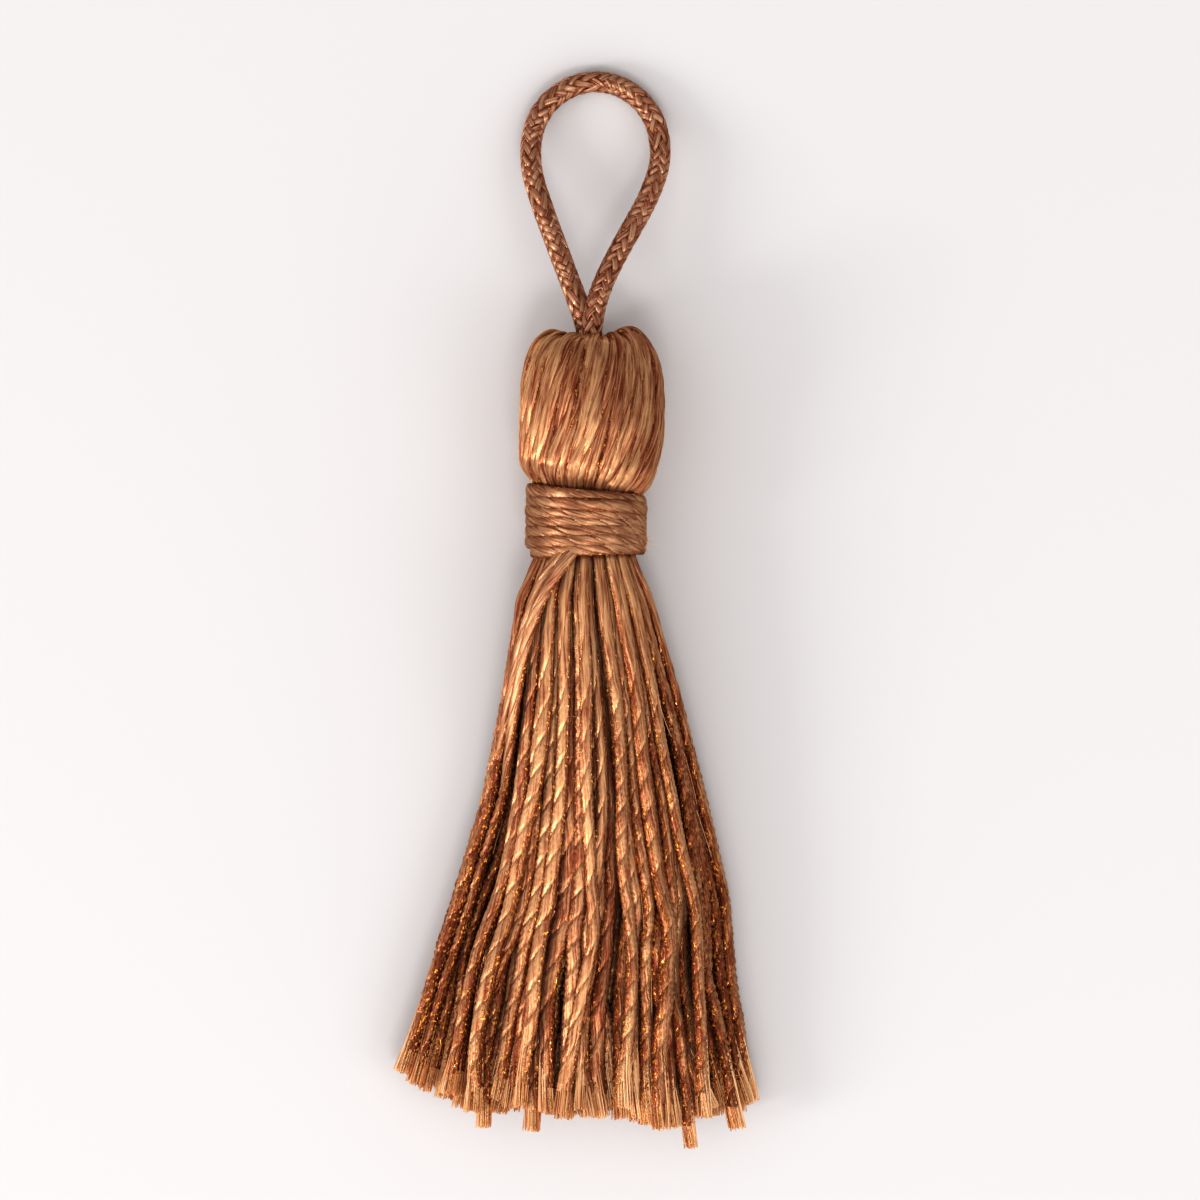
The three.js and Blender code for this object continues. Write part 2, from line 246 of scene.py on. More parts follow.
class GeometryBench(NodeBench):
    """Builds a Geometry Nodes tree with named inputs and applies it to guides."""

    def __init__(self, name: str) -> None:
        """Starts an empty tree that takes and gives geometry."""
        super().__init__(bpy.data.node_groups.new(name, "GeometryNodeTree"))
        self.identifiers: dict[str, str] = {}
        self.declare("Guides", "NodeSocketGeometry")
        self.tree.interface.new_socket("Geometry", in_out="OUTPUT", socket_type="NodeSocketGeometry")
        self.entry = self.tree.nodes.new("NodeGroupInput")

    def declare(self, name: str, kind: str) -> None:
        """Adds a named input to the tree.

        Args:
            name: The input's name.
            kind: The type of its socket.
        """
        socket = self.tree.interface.new_socket(name, in_out="INPUT", socket_type=kind)
        self.identifiers[name] = socket.identifier

    def given(self, name: str) -> bpy.types.NodeSocket:
        """Gives the socket of one of the tree's inputs."""
        return self.entry.outputs[name]

    def read(self, name: str, kind: Field) -> bpy.types.NodeSocket:
        """Reads a named attribute.

        Args:
            name: The attribute.
            kind: Its type.

        Returns:
            The attribute's socket.
        """
        made = self.node("GeometryNodeInputNamedAttribute", {"data_type": kind.value}, Name=name)
        return made.outputs["Attribute"]

    def keep(self, geometry: object, name: str, kind: Field, value: object) -> bpy.types.NodeSocket:
        """Stores a named attribute on the points.

        Args:
            geometry: The geometry to store it on.
            name: The attribute.
            kind: Its type.
            value: What to store.

        Returns:
            The geometry with the attribute.
        """
        made = self.node("GeometryNodeStoreNamedAttribute", {"data_type": kind.value, "domain": "POINT"})
        self.feed(made.inputs["Geometry"], geometry)
        made.inputs["Name"].default_value = name
        self.feed(made.inputs["Value"], value)
        return made.outputs["Geometry"]

    def ends(self, geometry: bpy.types.NodeSocket) -> None:
        """Finishes the tree: real geometry, smooth, in the given material.

        Args:
            geometry: What the tree has made.
        """
        smooth = self.node("GeometryNodeSetShadeSmooth", Geometry=geometry)
        real = self.node("GeometryNodeRealizeInstances", Geometry=smooth.outputs[0])
        dressed = self.node(
            "GeometryNodeSetMaterial",
            Geometry=real.outputs[0],
            Material=self.given("Material"),
        )
        leave = self.tree.nodes.new("NodeGroupOutput")
        self.tree.links.new(dressed.outputs[0], leave.inputs[0])

    def applied(self, guides: bpy.types.Mesh, name: str, values: dict[str, object]) -> bpy.types.Object:
        """Runs the tree on guides and keeps the result as a plain mesh.

        Args:
            guides: The mesh that the tree starts from.
            name: The new piece's name.
            values: The tree's inputs by name.

        Returns:
            The piece, at the origin.
        """
        carrier = bpy.data.objects.new(name + "_guides", guides)
        bpy.context.scene.collection.objects.link(carrier)
        modifier = carrier.modifiers.new("nodes", "NODES")
        modifier.node_group = self.tree
        for key, value in values.items():
            modifier[self.identifiers[key]] = value
        evaluated = carrier.evaluated_get(bpy.context.evaluated_depsgraph_get())
        mesh = bpy.data.meshes.new_from_object(evaluated)
        bpy.data.objects.remove(carrier)
        mesh.name = name
        piece = bpy.data.objects.new(name, mesh)
        bpy.context.scene.collection.objects.link(piece)
        return piece


@dataclass
class Guides:
    """Lines that yarns follow, with what the trees need to know at each point."""

    points: list[np.ndarray] = field(default_factory=list)
    vectors: dict[str, list[np.ndarray]] = field(default_factory=dict)
    numbers: dict[str, list[np.ndarray]] = field(default_factory=dict)

    def add(self, points: np.ndarray, outward: np.ndarray, **numbers: object) -> None:
        """Adds one line.

        Args:
            points: Its points in order, in millimetres.
            outward: The direction at each point that faces away from what the yarn lies on.
            **numbers: Values for the whole line or for each point, each under its attribute's name.
        """
        self.points.append(np.asarray(points, float))
        self.vectors.setdefault("outward", []).append(np.asarray(outward, float))
        for name, values in numbers.items():
            spread = np.broadcast_to(np.asarray(values, float), len(points))
            self.numbers.setdefault(name, []).append(spread)

    def mesh(self, name: str) -> bpy.types.Mesh:
        """Makes the lines a mesh of edges with their values as attributes.

        Args:
            name: The mesh's name.

        Returns:
            The mesh, in metres.
        """
        counts = [len(line) for line in self.points]
        starts = np.concatenate([[0], np.cumsum(counts)[:-1]])
        edges = [
            (start + step, start + step + 1)
            for start, count in zip(starts, counts)
            for step in range(count - 1)
        ]
        mesh = bpy.data.meshes.new(name)
        mesh.from_pydata((np.concatenate(self.points) * MM).tolist(), edges, [])
        for key, values in self.numbers.items():
            column = mesh.attributes.new(key, Field.NUMBER.value, "POINT")
            column.data.foreach_set("value", np.concatenate(values))
        for key, values in self.vectors.items():
            column = mesh.attributes.new(key, Field.VECTOR.value, "POINT")
            column.data.foreach_set("vector", np.concatenate(values).ravel())
        return mesh


class StrandTree(GeometryBench):
    """What every tree of strands shares: even axes that know their directions, and squashed tubes."""

    def axes(self) -> bpy.types.NodeSocket:
        """Makes the guides smooth curves that know their own directions.

        Returns:
            The curves.
        """
        curves = self.node("GeometryNodeMeshToCurve", Mesh=self.given("Guides")).outputs[0]
        curves = self.node("GeometryNodeCurveSplineType", {"spline_type": "CATMULL_ROM"}, Curve=curves)
        even = self.node(
            "GeometryNodeResampleCurve",
            {"mode": "LENGTH"},
            Curve=curves.outputs[0],
            Length=self.given("Step"),
        ).outputs[0]
        heading = self.node("GeometryNodeInputTangent").outputs[0]
        side = self.vector("CROSS_PRODUCT", heading, self.read("outward", Field.VECTOR))
        side = self.vector("NORMALIZE", side)
        place = self.node("GeometryNodeInputPosition").outputs[0]
        length = self.node("GeometryNodeSplineParameter").outputs["Length"]
        even = self.keep(even, "heading", Field.VECTOR, heading)
        even = self.keep(even, "side", Field.VECTOR, side)
        even = self.keep(even, "upright", Field.VECTOR, self.vector("CROSS_PRODUCT", side, heading))
        even = self.keep(even, "middle", Field.VECTOR, place)
        return self.keep(even, "run", Field.NUMBER, length)

    def turned(self, curves: object, facing: object, ply: object) -> bpy.types.NodeSocket:
        """Points the strands' sections outwards, and keeps each strand's own centre and direction.

        Args:
            curves: The strands' curves.
            facing: The direction that each point of a strand faces.
            ply: The strand's own number.

        Returns:
            The strands' curves, ready for their sections.
        """
        turned = self.node("GeometryNodeSetCurveNormal", {"mode": "FREE"}, Curve=curves, Normal=facing)
        strands = self.keep(turned.outputs[0], "facing", Field.VECTOR, facing)
        fibre = self.node("GeometryNodeInputTangent").outputs[0]
        strands = self.keep(strands, "fibre", Field.VECTOR, fibre)
        strands = self.keep(strands, "across", Field.VECTOR, self.vector("CROSS_PRODUCT", fibre, facing))
        centre = self.node("GeometryNodeInputPosition").outputs[0]
        strands = self.keep(strands, "centre", Field.VECTOR, centre)
        return self.keep(strands, "ply", Field.NUMBER, ply)

    def tubes(self, strands: object, sides: object, girth: object) -> bpy.types.NodeSocket:
        """Gives the strands round sections, and keeps each point's place inside its strand.

        Args:
            strands: The strands' curves.
            sides: How many sides a section has.
            girth: The strands' width at each point.

        Returns:
            The strands' mesh.
        """
        circle = self.node("GeometryNodeCurvePrimitiveCircle", Resolution=sides, Radius=0.5)
        tubes = self.node(
            "GeometryNodeCurveToMesh",
            Curve=strands,
            Profile_Curve=circle.outputs[0],
            Scale=girth,
            Fill_Caps=True,
        )
        reach = self.reach("centre")
        local = self.node(
            "ShaderNodeCombineXYZ",
            X=self.dot(reach, self.read("across", Field.VECTOR)),
            Y=self.dot(reach, self.read("facing", Field.VECTOR)),
            Z=self.read("run", Field.NUMBER),
        )
        return self.keep(tubes.outputs[0], "strand", Field.VECTOR, local.outputs[0])

    def reach(self, centre: str) -> bpy.types.NodeSocket:
        """Measures from a stored centre to the point.

        Args:
            centre: The attribute that holds the centre.

        Returns:
            The vector between them.
        """
        place = self.node("GeometryNodeInputPosition").outputs[0]
        return self.vector("SUBTRACT", place, self.read(centre, Field.VECTOR))

    def squashed(self, tubes: object, directions: dict[str, object]) -> bpy.types.NodeSocket:
        """Squashes each tube's section along stored directions.

        Args:
            tubes: The strands' mesh.
            directions: How much of the width stays along each named direction.

        Returns:
            The squashed mesh.
        """
        offset = self.vector("ADD", (0.0, 0.0, 0.0), (0.0, 0.0, 0.0))
        for name, share in directions.items():
            direction = self.read(name, Field.VECTOR)
            length = self.dot(self.reach("centre"), direction)
            change = self.number("MULTIPLY", length, self.number("SUBTRACT", share, 1.0))
            offset = self.vector("ADD", offset, self.scaled(direction, change))
        moved = self.node("GeometryNodeSetPosition", Geometry=tubes, Offset=offset)
        return moved.outputs[0]


class PliedYarn(StrandTree):
    """Plies wound round each guide, with their fibres' direction kept for the finish."""

    def __init__(self) -> None:
        """Builds the tree."""
        super().__init__("plied_yarn")
        self.declare("Step", "NodeSocketFloat")
        self.declare("Ply Sides", "NodeSocketInt")
        self.declare("Plies", "NodeSocketInt")
        self.declare("Ply Reach", "NodeSocketFloat")
        self.declare("Ply Width", "NodeSocketFloat")
        self.declare("Hand", "NodeSocketFloat")
        self.declare("Own Twist", "NodeSocketFloat")
        self.declare("Material", "NodeSocketMaterial")
        self.ends(self.swept(self.wound(self.axes())))

    def wound(self, curves: bpy.types.NodeSocket) -> bpy.types.NodeSocket:
        """Winds the plies round the curves.

        Args:
            curves: The yarns' axes.

        Returns:
            A curve for each ply.
        """
        copies = self.node(
            "GeometryNodeDuplicateElements",
            {"domain": "SPLINE"},
            Geometry=curves,
            Amount=self.given("Plies"),
        )
        share = self.number("DIVIDE", copies.outputs["Duplicate Index"], self.given("Plies"))
        turns = self.number("MULTIPLY", self.read("turns", Field.NUMBER), self.given("Hand"))
        angle = self.number("MULTIPLY", self.number("ADD", turns, share), 2.0 * math.pi)
        across = self.number("SINE", angle)
        out = self.number("COSINE", angle)
        side = self.read("side", Field.VECTOR)
        upright = self.read("upright", Field.VECTOR)
        breadth = self.number("MULTIPLY", self.read("breadth", Field.NUMBER), self.given("Ply Reach"))
        depth = self.number("MULTIPLY", self.read("depth", Field.NUMBER), self.given("Ply Reach"))
        sideways = self.scaled(side, self.number("MULTIPLY", across, breadth))
        outwards = self.scaled(upright, self.number("MULTIPLY", out, depth))
        moved = self.node(
            "GeometryNodeSetPosition",
            Geometry=copies.outputs["Geometry"],
            Offset=self.vector("ADD", sideways, outwards),
        )
        facing = self.vector("ADD", self.scaled(side, across), self.scaled(upright, out))
        return self.turned(moved.outputs[0], facing, share)

    def swept(self, plies: bpy.types.NodeSocket) -> bpy.types.NodeSocket:
        """Gives each ply its section, squashed as the whole yarn is.

        Args:
            plies: The plies' curves.

        Returns:
            The plies' mesh.
        """
        breadth = self.read("breadth", Field.NUMBER)
        depth = self.read("depth", Field.NUMBER)
        girth = self.number("MULTIPLY", self.number("ADD", breadth, depth), 0.5)
        left_over = self.number("SUBTRACT", 1.0, self.number("MULTIPLY", self.given("Ply Reach"), 2.0))
        ply_width = self.given("Ply Width")
        tubes = self.tubes(plies, self.given("Ply Sides"), self.number("MULTIPLY", girth, ply_width))
        flat = self.squashed(tubes, {"facing": self.number("DIVIDE", left_over, ply_width)})
        shares = {
            "side": self.number("DIVIDE", breadth, girth),
            "upright": self.number("DIVIDE", depth, girth),
        }
        shaped = self.squashed(flat, shares)
        # The height drives painted shade in the finish: the lower a point sits in its yarn, the darker its
        # colour.
        height = self.dot(self.reach("middle"), self.read("upright", Field.VECTOR))
        shaped = self.keep(shaped, "height", Field.NUMBER, self.number("DIVIDE", height, depth))
        turns = self.number("MULTIPLY", self.read("turns", Field.NUMBER), self.given("Hand"))
        back = self.number("MULTIPLY", turns, self.given("Own Twist"))
        return self.keep(shaped, "unwound", Field.NUMBER, self.number("MULTIPLY", back, -2.0 * math.pi))


class LooseFilaments(StrandTree):
    """Single fine filaments that follow their guides."""

    def __init__(self) -> None:
        """Builds the tree."""
        super().__init__("loose_filaments")
        self.declare("Step", "NodeSocketFloat")
        self.declare("Sides", "NodeSocketInt")
        self.declare("Material", "NodeSocketMaterial")
        upright = self.read("upright", Field.VECTOR)
        strands = self.turned(self.axes(), upright, self.read("tone", Field.NUMBER))
        tubes = self.tubes(strands, self.given("Sides"), self.read("breadth", Field.NUMBER))
        # The rise is kept as height, which the finish turns into painted light and shade.
        self.ends(self.keep(tubes, "height", Field.NUMBER, self.read("rise", Field.NUMBER)))


class RoundBraid(StrandTree):
    """Strands that pass over and under each other round a path, over a core."""

    def __init__(self) -> None:
        """Builds the tree."""
        super().__init__("round_braid")
        self.declare("Radius", "NodeSocketFloat")
        self.declare("Lift", "NodeSocketFloat")
        self.declare("Flatness", "NodeSocketFloat")
        self.declare("Step", "NodeSocketFloat")
        self.declare("Strands Each Way", "NodeSocketInt")
        self.declare("Material", "NodeSocketMaterial")
        axis = self.axes()
        joined = self.tree.nodes.new("GeometryNodeJoinGeometry")
        for part in (self.core(axis), self.swept(self.plaited(axis))):
            self.tree.links.new(part, joined.inputs[0])
        self.ends(joined.outputs[0])

    def core(self, axis: bpy.types.NodeSocket) -> bpy.types.NodeSocket:
        """Makes the filling that the strands are plaited over.

        Args:
            axis: The cord's axis.

        Returns:
            The filling's mesh.
        """
        strand = self.turned(axis, self.read("upright", Field.VECTOR), 0.9)
        filling = self.tubes(strand, 10, self.number("MULTIPLY", self.given("Radius"), 1.7))
        # Painted shade: a height of -0.5 gives the filling the finish's darkest colour.
        return self.keep(filling, "height", Field.NUMBER, -0.5)

    def plaited(self, curve: bpy.types.NodeSocket) -> bpy.types.NodeSocket:
        """Winds half of the strands each way, two over and two under.

        Args:
            curve: The cord's axis.

        Returns:
            A curve for each strand.
        """
        each_way = self.given("Strands Each Way")
        copies = self.node(
            "GeometryNodeDuplicateElements",
            {"domain": "SPLINE"},
            Geometry=curve,
            Amount=self.number("MULTIPLY", each_way, 2.0),
        )
        index = copies.outputs["Duplicate Index"]
        backwards = self.number("GREATER_THAN", index, self.number("SUBTRACT", each_way, 0.5))
        way = self.number("SUBTRACT", 1.0, self.number("MULTIPLY", backwards, 2.0))
        own = self.number("SUBTRACT", index, self.number("MULTIPLY", backwards, each_way))
        start = self.number("ADD", own, self.number("MULTIPLY", backwards, 0.5))
        start = self.number("DIVIDE", start, each_way)
        turns = self.read("turns", Field.NUMBER)
        wound = self.number("ADD", self.number("MULTIPLY", turns, way), start)
        angle = self.number("MULTIPLY", wound, 2.0 * math.pi)
        above = self.above(self.number("MULTIPLY", turns, each_way), way, own, backwards)
        reach = self.number("ADD", self.given("Radius"), self.number("MULTIPLY", above, self.given("Lift")))
        facing = self.vector(
            "ADD",
            self.scaled(self.read("side", Field.VECTOR), self.number("SINE", angle)),
            self.scaled(self.read("upright", Field.VECTOR), self.number("COSINE", angle)),
        )
        moved = self.node(
            "GeometryNodeSetPosition",
            Geometry=copies.outputs["Geometry"],
            Offset=self.scaled(facing, reach),
        )
        kept = self.keep(moved.outputs[0], "height", Field.NUMBER, above)
        return self.turned(kept, facing, self.number("DIVIDE", index, 8.0))

    def above(self, crossings: object, way: object, own: object, backwards: object) -> bpy.types.NodeSocket:
        """Says where a strand lies over the others, so that each column shows one way's strands.

        Args:
            crossings: Half of the crossings passed so far.
            way: Which way the strand winds.
            own: The strand's number among those of its way.
            backwards: Whether it winds backwards.

        Returns:
            From -1, under, to 1, over.
        """
        beats = self.number("ADD", crossings, self.number("MULTIPLY", way, own))
        beats = self.number("ADD", self.number("MULTIPLY", beats, 2.0), -1.0)
        beats = self.number("ADD", beats, self.number("MULTIPLY", backwards, 3.0))
        wave = self.number("COSINE", self.number("MULTIPLY", beats, 0.5 * math.pi))
        return self.clamped(self.number("MULTIPLY", wave, 1.4), -1.0)

    def swept(self, strands: bpy.types.NodeSocket) -> bpy.types.NodeSocket:
        """Gives each strand its flat section.

        Args:
            strands: The strands' curves.

        Returns:
            The strands' mesh.
        """
        tubes = self.tubes(strands, 7, self.read("breadth", Field.NUMBER))
        flat = self.squashed(tubes, {"facing": self.given("Flatness")})
        height = self.dot(self.reach("centre"), self.read("facing", Field.VECTOR))
        height = self.number("DIVIDE", height, self.read("breadth", Field.NUMBER))
        # Painted shade: strands get a lower height, and so a darker colour, where they pass under others.
        rise = self.number("MULTIPLY", self.read("height", Field.NUMBER), 0.3)
        return self.keep(flat, "height", Field.NUMBER, self.number("ADD", height, rise))


@dataclass(frozen=True)
class Satin:
    """A satin rayon finish, whose shine runs across the fibres, and whose colour holds painted shade that
    darkens it, and so its shine, in the gaps between them.
    """

    name: str
    # deep is the darkest dye colour and also the painted shade low in the yarns; light is the lightest, and
    # also the painted light on raised parts.
    deep: tuple[float, float, float]
    body: tuple[float, float, float]
    light: tuple[float, float, float]
    glint: tuple[float, float, float] = (0.98, 0.45, 0.08)
    edge: tuple[float, float, float] = (0.95, 0.72, 0.52)
    metallic: float = 0.72
    roughness: float = 0.3
    anisotropic: float = 1.0
    sheen: float = 0.03
    relief: float = 0.9

    def material(self) -> bpy.types.Material:
        """Makes the finish.

        Returns:
            The material.
        """
        made = bpy.data.materials.new(self.name)
        made.use_nodes = True
        made.node_tree.nodes.clear()
        bench = NodeBench(made.node_tree)
        tone = bench.node("ShaderNodeAttribute", {"attribute_name": "tone"}).outputs["Fac"]
        height = bench.node("ShaderNodeAttribute", {"attribute_name": "height"}).outputs["Fac"]
        fibre = bench.node("ShaderNodeAttribute", {"attribute_name": "fibre"}).outputs["Vector"]
        place = self.place(bench, tone)
        filaments = self.noise(bench, place, (1.0, 1.0, 0.055), 4600.0, 4.0)
        # Painted glints: small spots low in the yarns get a bright orange base colour, standing in for
        # sparkles of light.
        glints = self.noise(bench, place, (1.0, 1.0, 0.7), 4800.0, 1.0)
        glints = bench.clamped(bench.number("MULTIPLY", bench.number("SUBTRACT", glints, 0.56), 16.0))
        low = bench.clamped(bench.number("MULTIPLY", bench.number("SUBTRACT", 0.34, height), 4.0))
        glints = bench.number("MULTIPLY", glints, low)
        color = self.shaded_dye(bench, place, filaments, tone, height)
        color = bench.mixed(color, (*self.glint, 1.0), glints)
        roughness = bench.number("SUBTRACT", self.roughness + 0.1, bench.number("MULTIPLY", filaments, 0.2))
        roughness = bench.number("SUBTRACT", roughness, bench.number("MULTIPLY", glints, 0.15))
        relief = bench.number("ADD", filaments, bench.number("MULTIPLY", glints, 2.6))
        bump = bench.node("ShaderNodeBump", Strength=self.relief, Distance=0.0001, Height=relief)
        facing = bench.node("ShaderNodeNewGeometry").outputs["Normal"]
        across = bench.vector("NORMALIZE", bench.vector("CROSS_PRODUCT", fibre, facing))
        shader = bench.node("ShaderNodeBsdfPrincipled", Base_Color=color, Roughness=roughness)
        bench.feed(shader.inputs["Normal"], bump.outputs["Normal"])
        bench.feed(shader.inputs["Tangent"], across)
        shader.inputs["Metallic"].default_value = self.metallic
        shader.inputs["Specular IOR Level"].default_value = 0.9
        shader.inputs["Specular Tint"].default_value = (*self.edge, 1.0)
        shader.inputs["Anisotropic"].default_value = self.anisotropic
        shader.inputs["Sheen Weight"].default_value = self.sheen
        shader.inputs["Sheen Roughness"].default_value = 0.4
        shader.inputs["Sheen Tint"].default_value = (*self.light, 1.0)
        end = bench.tree.nodes.new("ShaderNodeOutputMaterial")
        bench.tree.links.new(shader.outputs[0], end.inputs["Surface"])
        return made

    def place(self, bench: NodeBench, tone: bpy.types.NodeSocket) -> bpy.types.NodeSocket:
        """Gives each ply its own stretch of the patterns, so that no two yarns look alike.

        Args:
            bench: Where the material's nodes go.
            tone: The yarn's own number.

        Returns:
            The place inside the ply, in metres, moved by the yarn and ply.
        """
        strand = bench.node("ShaderNodeAttribute", {"attribute_name": "strand"}).outputs["Vector"]
        unwound = bench.node("ShaderNodeAttribute", {"attribute_name": "unwound"}).outputs["Fac"]
        strand = bench.node(
            "ShaderNodeVectorRotate", {"rotation_type": "Z_AXIS"}, Vector=strand, Angle=unwound
        ).outputs[0]
        ply = bench.node("ShaderNodeAttribute", {"attribute_name": "ply"}).outputs["Fac"]
        apart = bench.node(
            "ShaderNodeCombineXYZ",
            X=bench.number("MULTIPLY", tone, 0.37),
            Y=bench.number("MULTIPLY", ply, 0.11),
            Z=bench.number("MULTIPLY", tone, 0.83),
        )
        return bench.vector("ADD", strand, apart.outputs[0])

    def noise(
        self,
        bench: NodeBench,
        place: bpy.types.NodeSocket,
        stretch: tuple[float, float, float],
        scale: float,
        detail: float,
    ) -> bpy.types.NodeSocket:
        """Draws noise that is drawn out along the fibres.

        Args:
            bench: Where the material's nodes go.
            place: The place inside the ply.
            stretch: How fast the noise changes across, through and along the ply.
            scale: The noise's scale.
            detail: How much finer noise it holds.

        Returns:
            The noise, from 0 to 1.
        """
        drawn = bench.vector("MULTIPLY", place, stretch)
        made = bench.node("ShaderNodeTexNoise", Vector=drawn, Scale=scale, Detail=detail, Roughness=0.6)
        return made.outputs["Fac"]

    def shaded_dye(
        self,
        bench: NodeBench,
        place: bpy.types.NodeSocket,
        filaments: bpy.types.NodeSocket,
        tone: bpy.types.NodeSocket,
        height: bpy.types.NodeSocket,
    ) -> bpy.types.NodeSocket:
        """Mixes the base colour from the filaments, the yarn's own tone and slow noise, with painted shade:
        the lower a point sits in its yarn, the darker it is.

        Args:
            bench: Where the material's nodes go.
            place: The place inside the ply.
            filaments: The filaments' lines.
            tone: The yarn's own number.
            height: How far the point stands out of its yarn.

        Returns:
            The base colour.
        """
        slow = self.noise(bench, place, (1.0, 1.0, 1.0), 330.0, 1.0)
        depth = bench.number("SUBTRACT", bench.number("MULTIPLY", filaments, 1.1), 0.25)
        depth = bench.number("ADD", depth, bench.number("MULTIPLY", tone, 0.14))
        depth = bench.number("ADD", depth, bench.number("MULTIPLY", slow, 0.2))
        # Painted shade: points low in their yarn, between plies and in the gaps, get a darker colour, and
        # raised points a lighter one.
        height_shade = bench.number("MULTIPLY", bench.number("ADD", height, 0.5), 0.42)
        depth = bench.number("ADD", depth, bench.number("SUBTRACT", height_shade, 0.28))
        ramp = bench.node("ShaderNodeValToRGB", Fac=depth)
        stops = ramp.color_ramp.elements
        stops[0].position = 0.22
        stops[0].color = (*self.deep, 1.0)
        stops[1].position = 0.72
        stops[1].color = (*self.light, 1.0)
        middle = stops.new(0.45)
        middle.color = (*self.body, 1.0)
        return ramp.outputs["Color"]


@dataclass(frozen=True)
class ShadedCore:
    """Painted shade: a dark filling for the inside of the hank, seen only between yarns, much darker than
    the yarns' own colour.
    """

    name: str = "shaded_hank_inside"
    # A dark colour that stands for the shade between the yarns, not a dye of its own.
    color: tuple[float, float, float] = (0.09, 0.024, 0.009)

    def material(self) -> bpy.types.Material:
        """Makes the finish.

        Returns:
            The material.
        """
        made = bpy.data.materials.new(self.name)
        made.use_nodes = True
        bench = NodeBench(made.node_tree)
        shader = next(n for n in made.node_tree.nodes if n.type == "BSDF_PRINCIPLED")
        place = bench.node("ShaderNodeTexCoord").outputs["Object"]
        drawn = bench.vector("MULTIPLY", place, (1.0, 0.12, 1.0))
        noise = bench.node("ShaderNodeTexNoise", Vector=drawn, Scale=2600.0, Detail=2.0)
        ramp = bench.node("ShaderNodeValToRGB", Fac=noise.outputs["Fac"])
        ramp.color_ramp.elements[0].color = (*(0.5 * c for c in self.color), 1.0)
        ramp.color_ramp.elements[1].color = (*(1.8 * c for c in self.color), 1.0)
        bench.feed(shader.inputs["Base Color"], ramp.outputs["Color"])
        bump = bench.node("ShaderNodeBump", Strength=0.6, Distance=0.0002, Height=noise.outputs["Fac"])
        bench.feed(shader.inputs["Normal"], bump.outputs["Normal"])
        shader.inputs["Roughness"].default_value = 0.8
        shader.inputs["Specular IOR Level"].default_value = 0.1
        return made


def finished(piece: bpy.types.Object, slot: str, *nodes: str) -> bpy.types.Object:
    """Puts a piece on the body, hides the solids that it replaces, and logs its triangles.

    Args:
        piece: The piece.
        slot: Not used.
        *nodes: The solids that it replaces.

    Returns:
        The piece.
    """
    for node in nodes:
        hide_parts(node)
    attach(piece, BODY)
    triangles = sum(len(face.vertices) - 2 for face in piece.data.polygons)
    log.info("%s: %d triangles", piece.name, triangles)
    return piece


@dataclass(frozen=True)
class Plying:
    """How a yarn's plies lie together."""

    reach: float
    width: float
    own_twist: float

    def values(self, step: float, sides: int, finish: bpy.types.Material) -> dict[str, object]:
        """Gives the inputs of the tree that plies the yarn.

        Args:
            step: How far apart the points along a ply are, in millimetres.
            sides: How many sides a ply's section has.
            finish: The yarn's material.

        Returns:
            The inputs by name.
        """
        return {
            "Step": step * MM,
            "Ply Sides": sides,
            "Plies": PLIES,
            "Ply Reach": self.reach,
            "Ply Width": self.width,
            "Hand": Hand.Z_TWIST.value,
            "Own Twist": self.own_twist,
            "Material": finish,
        }


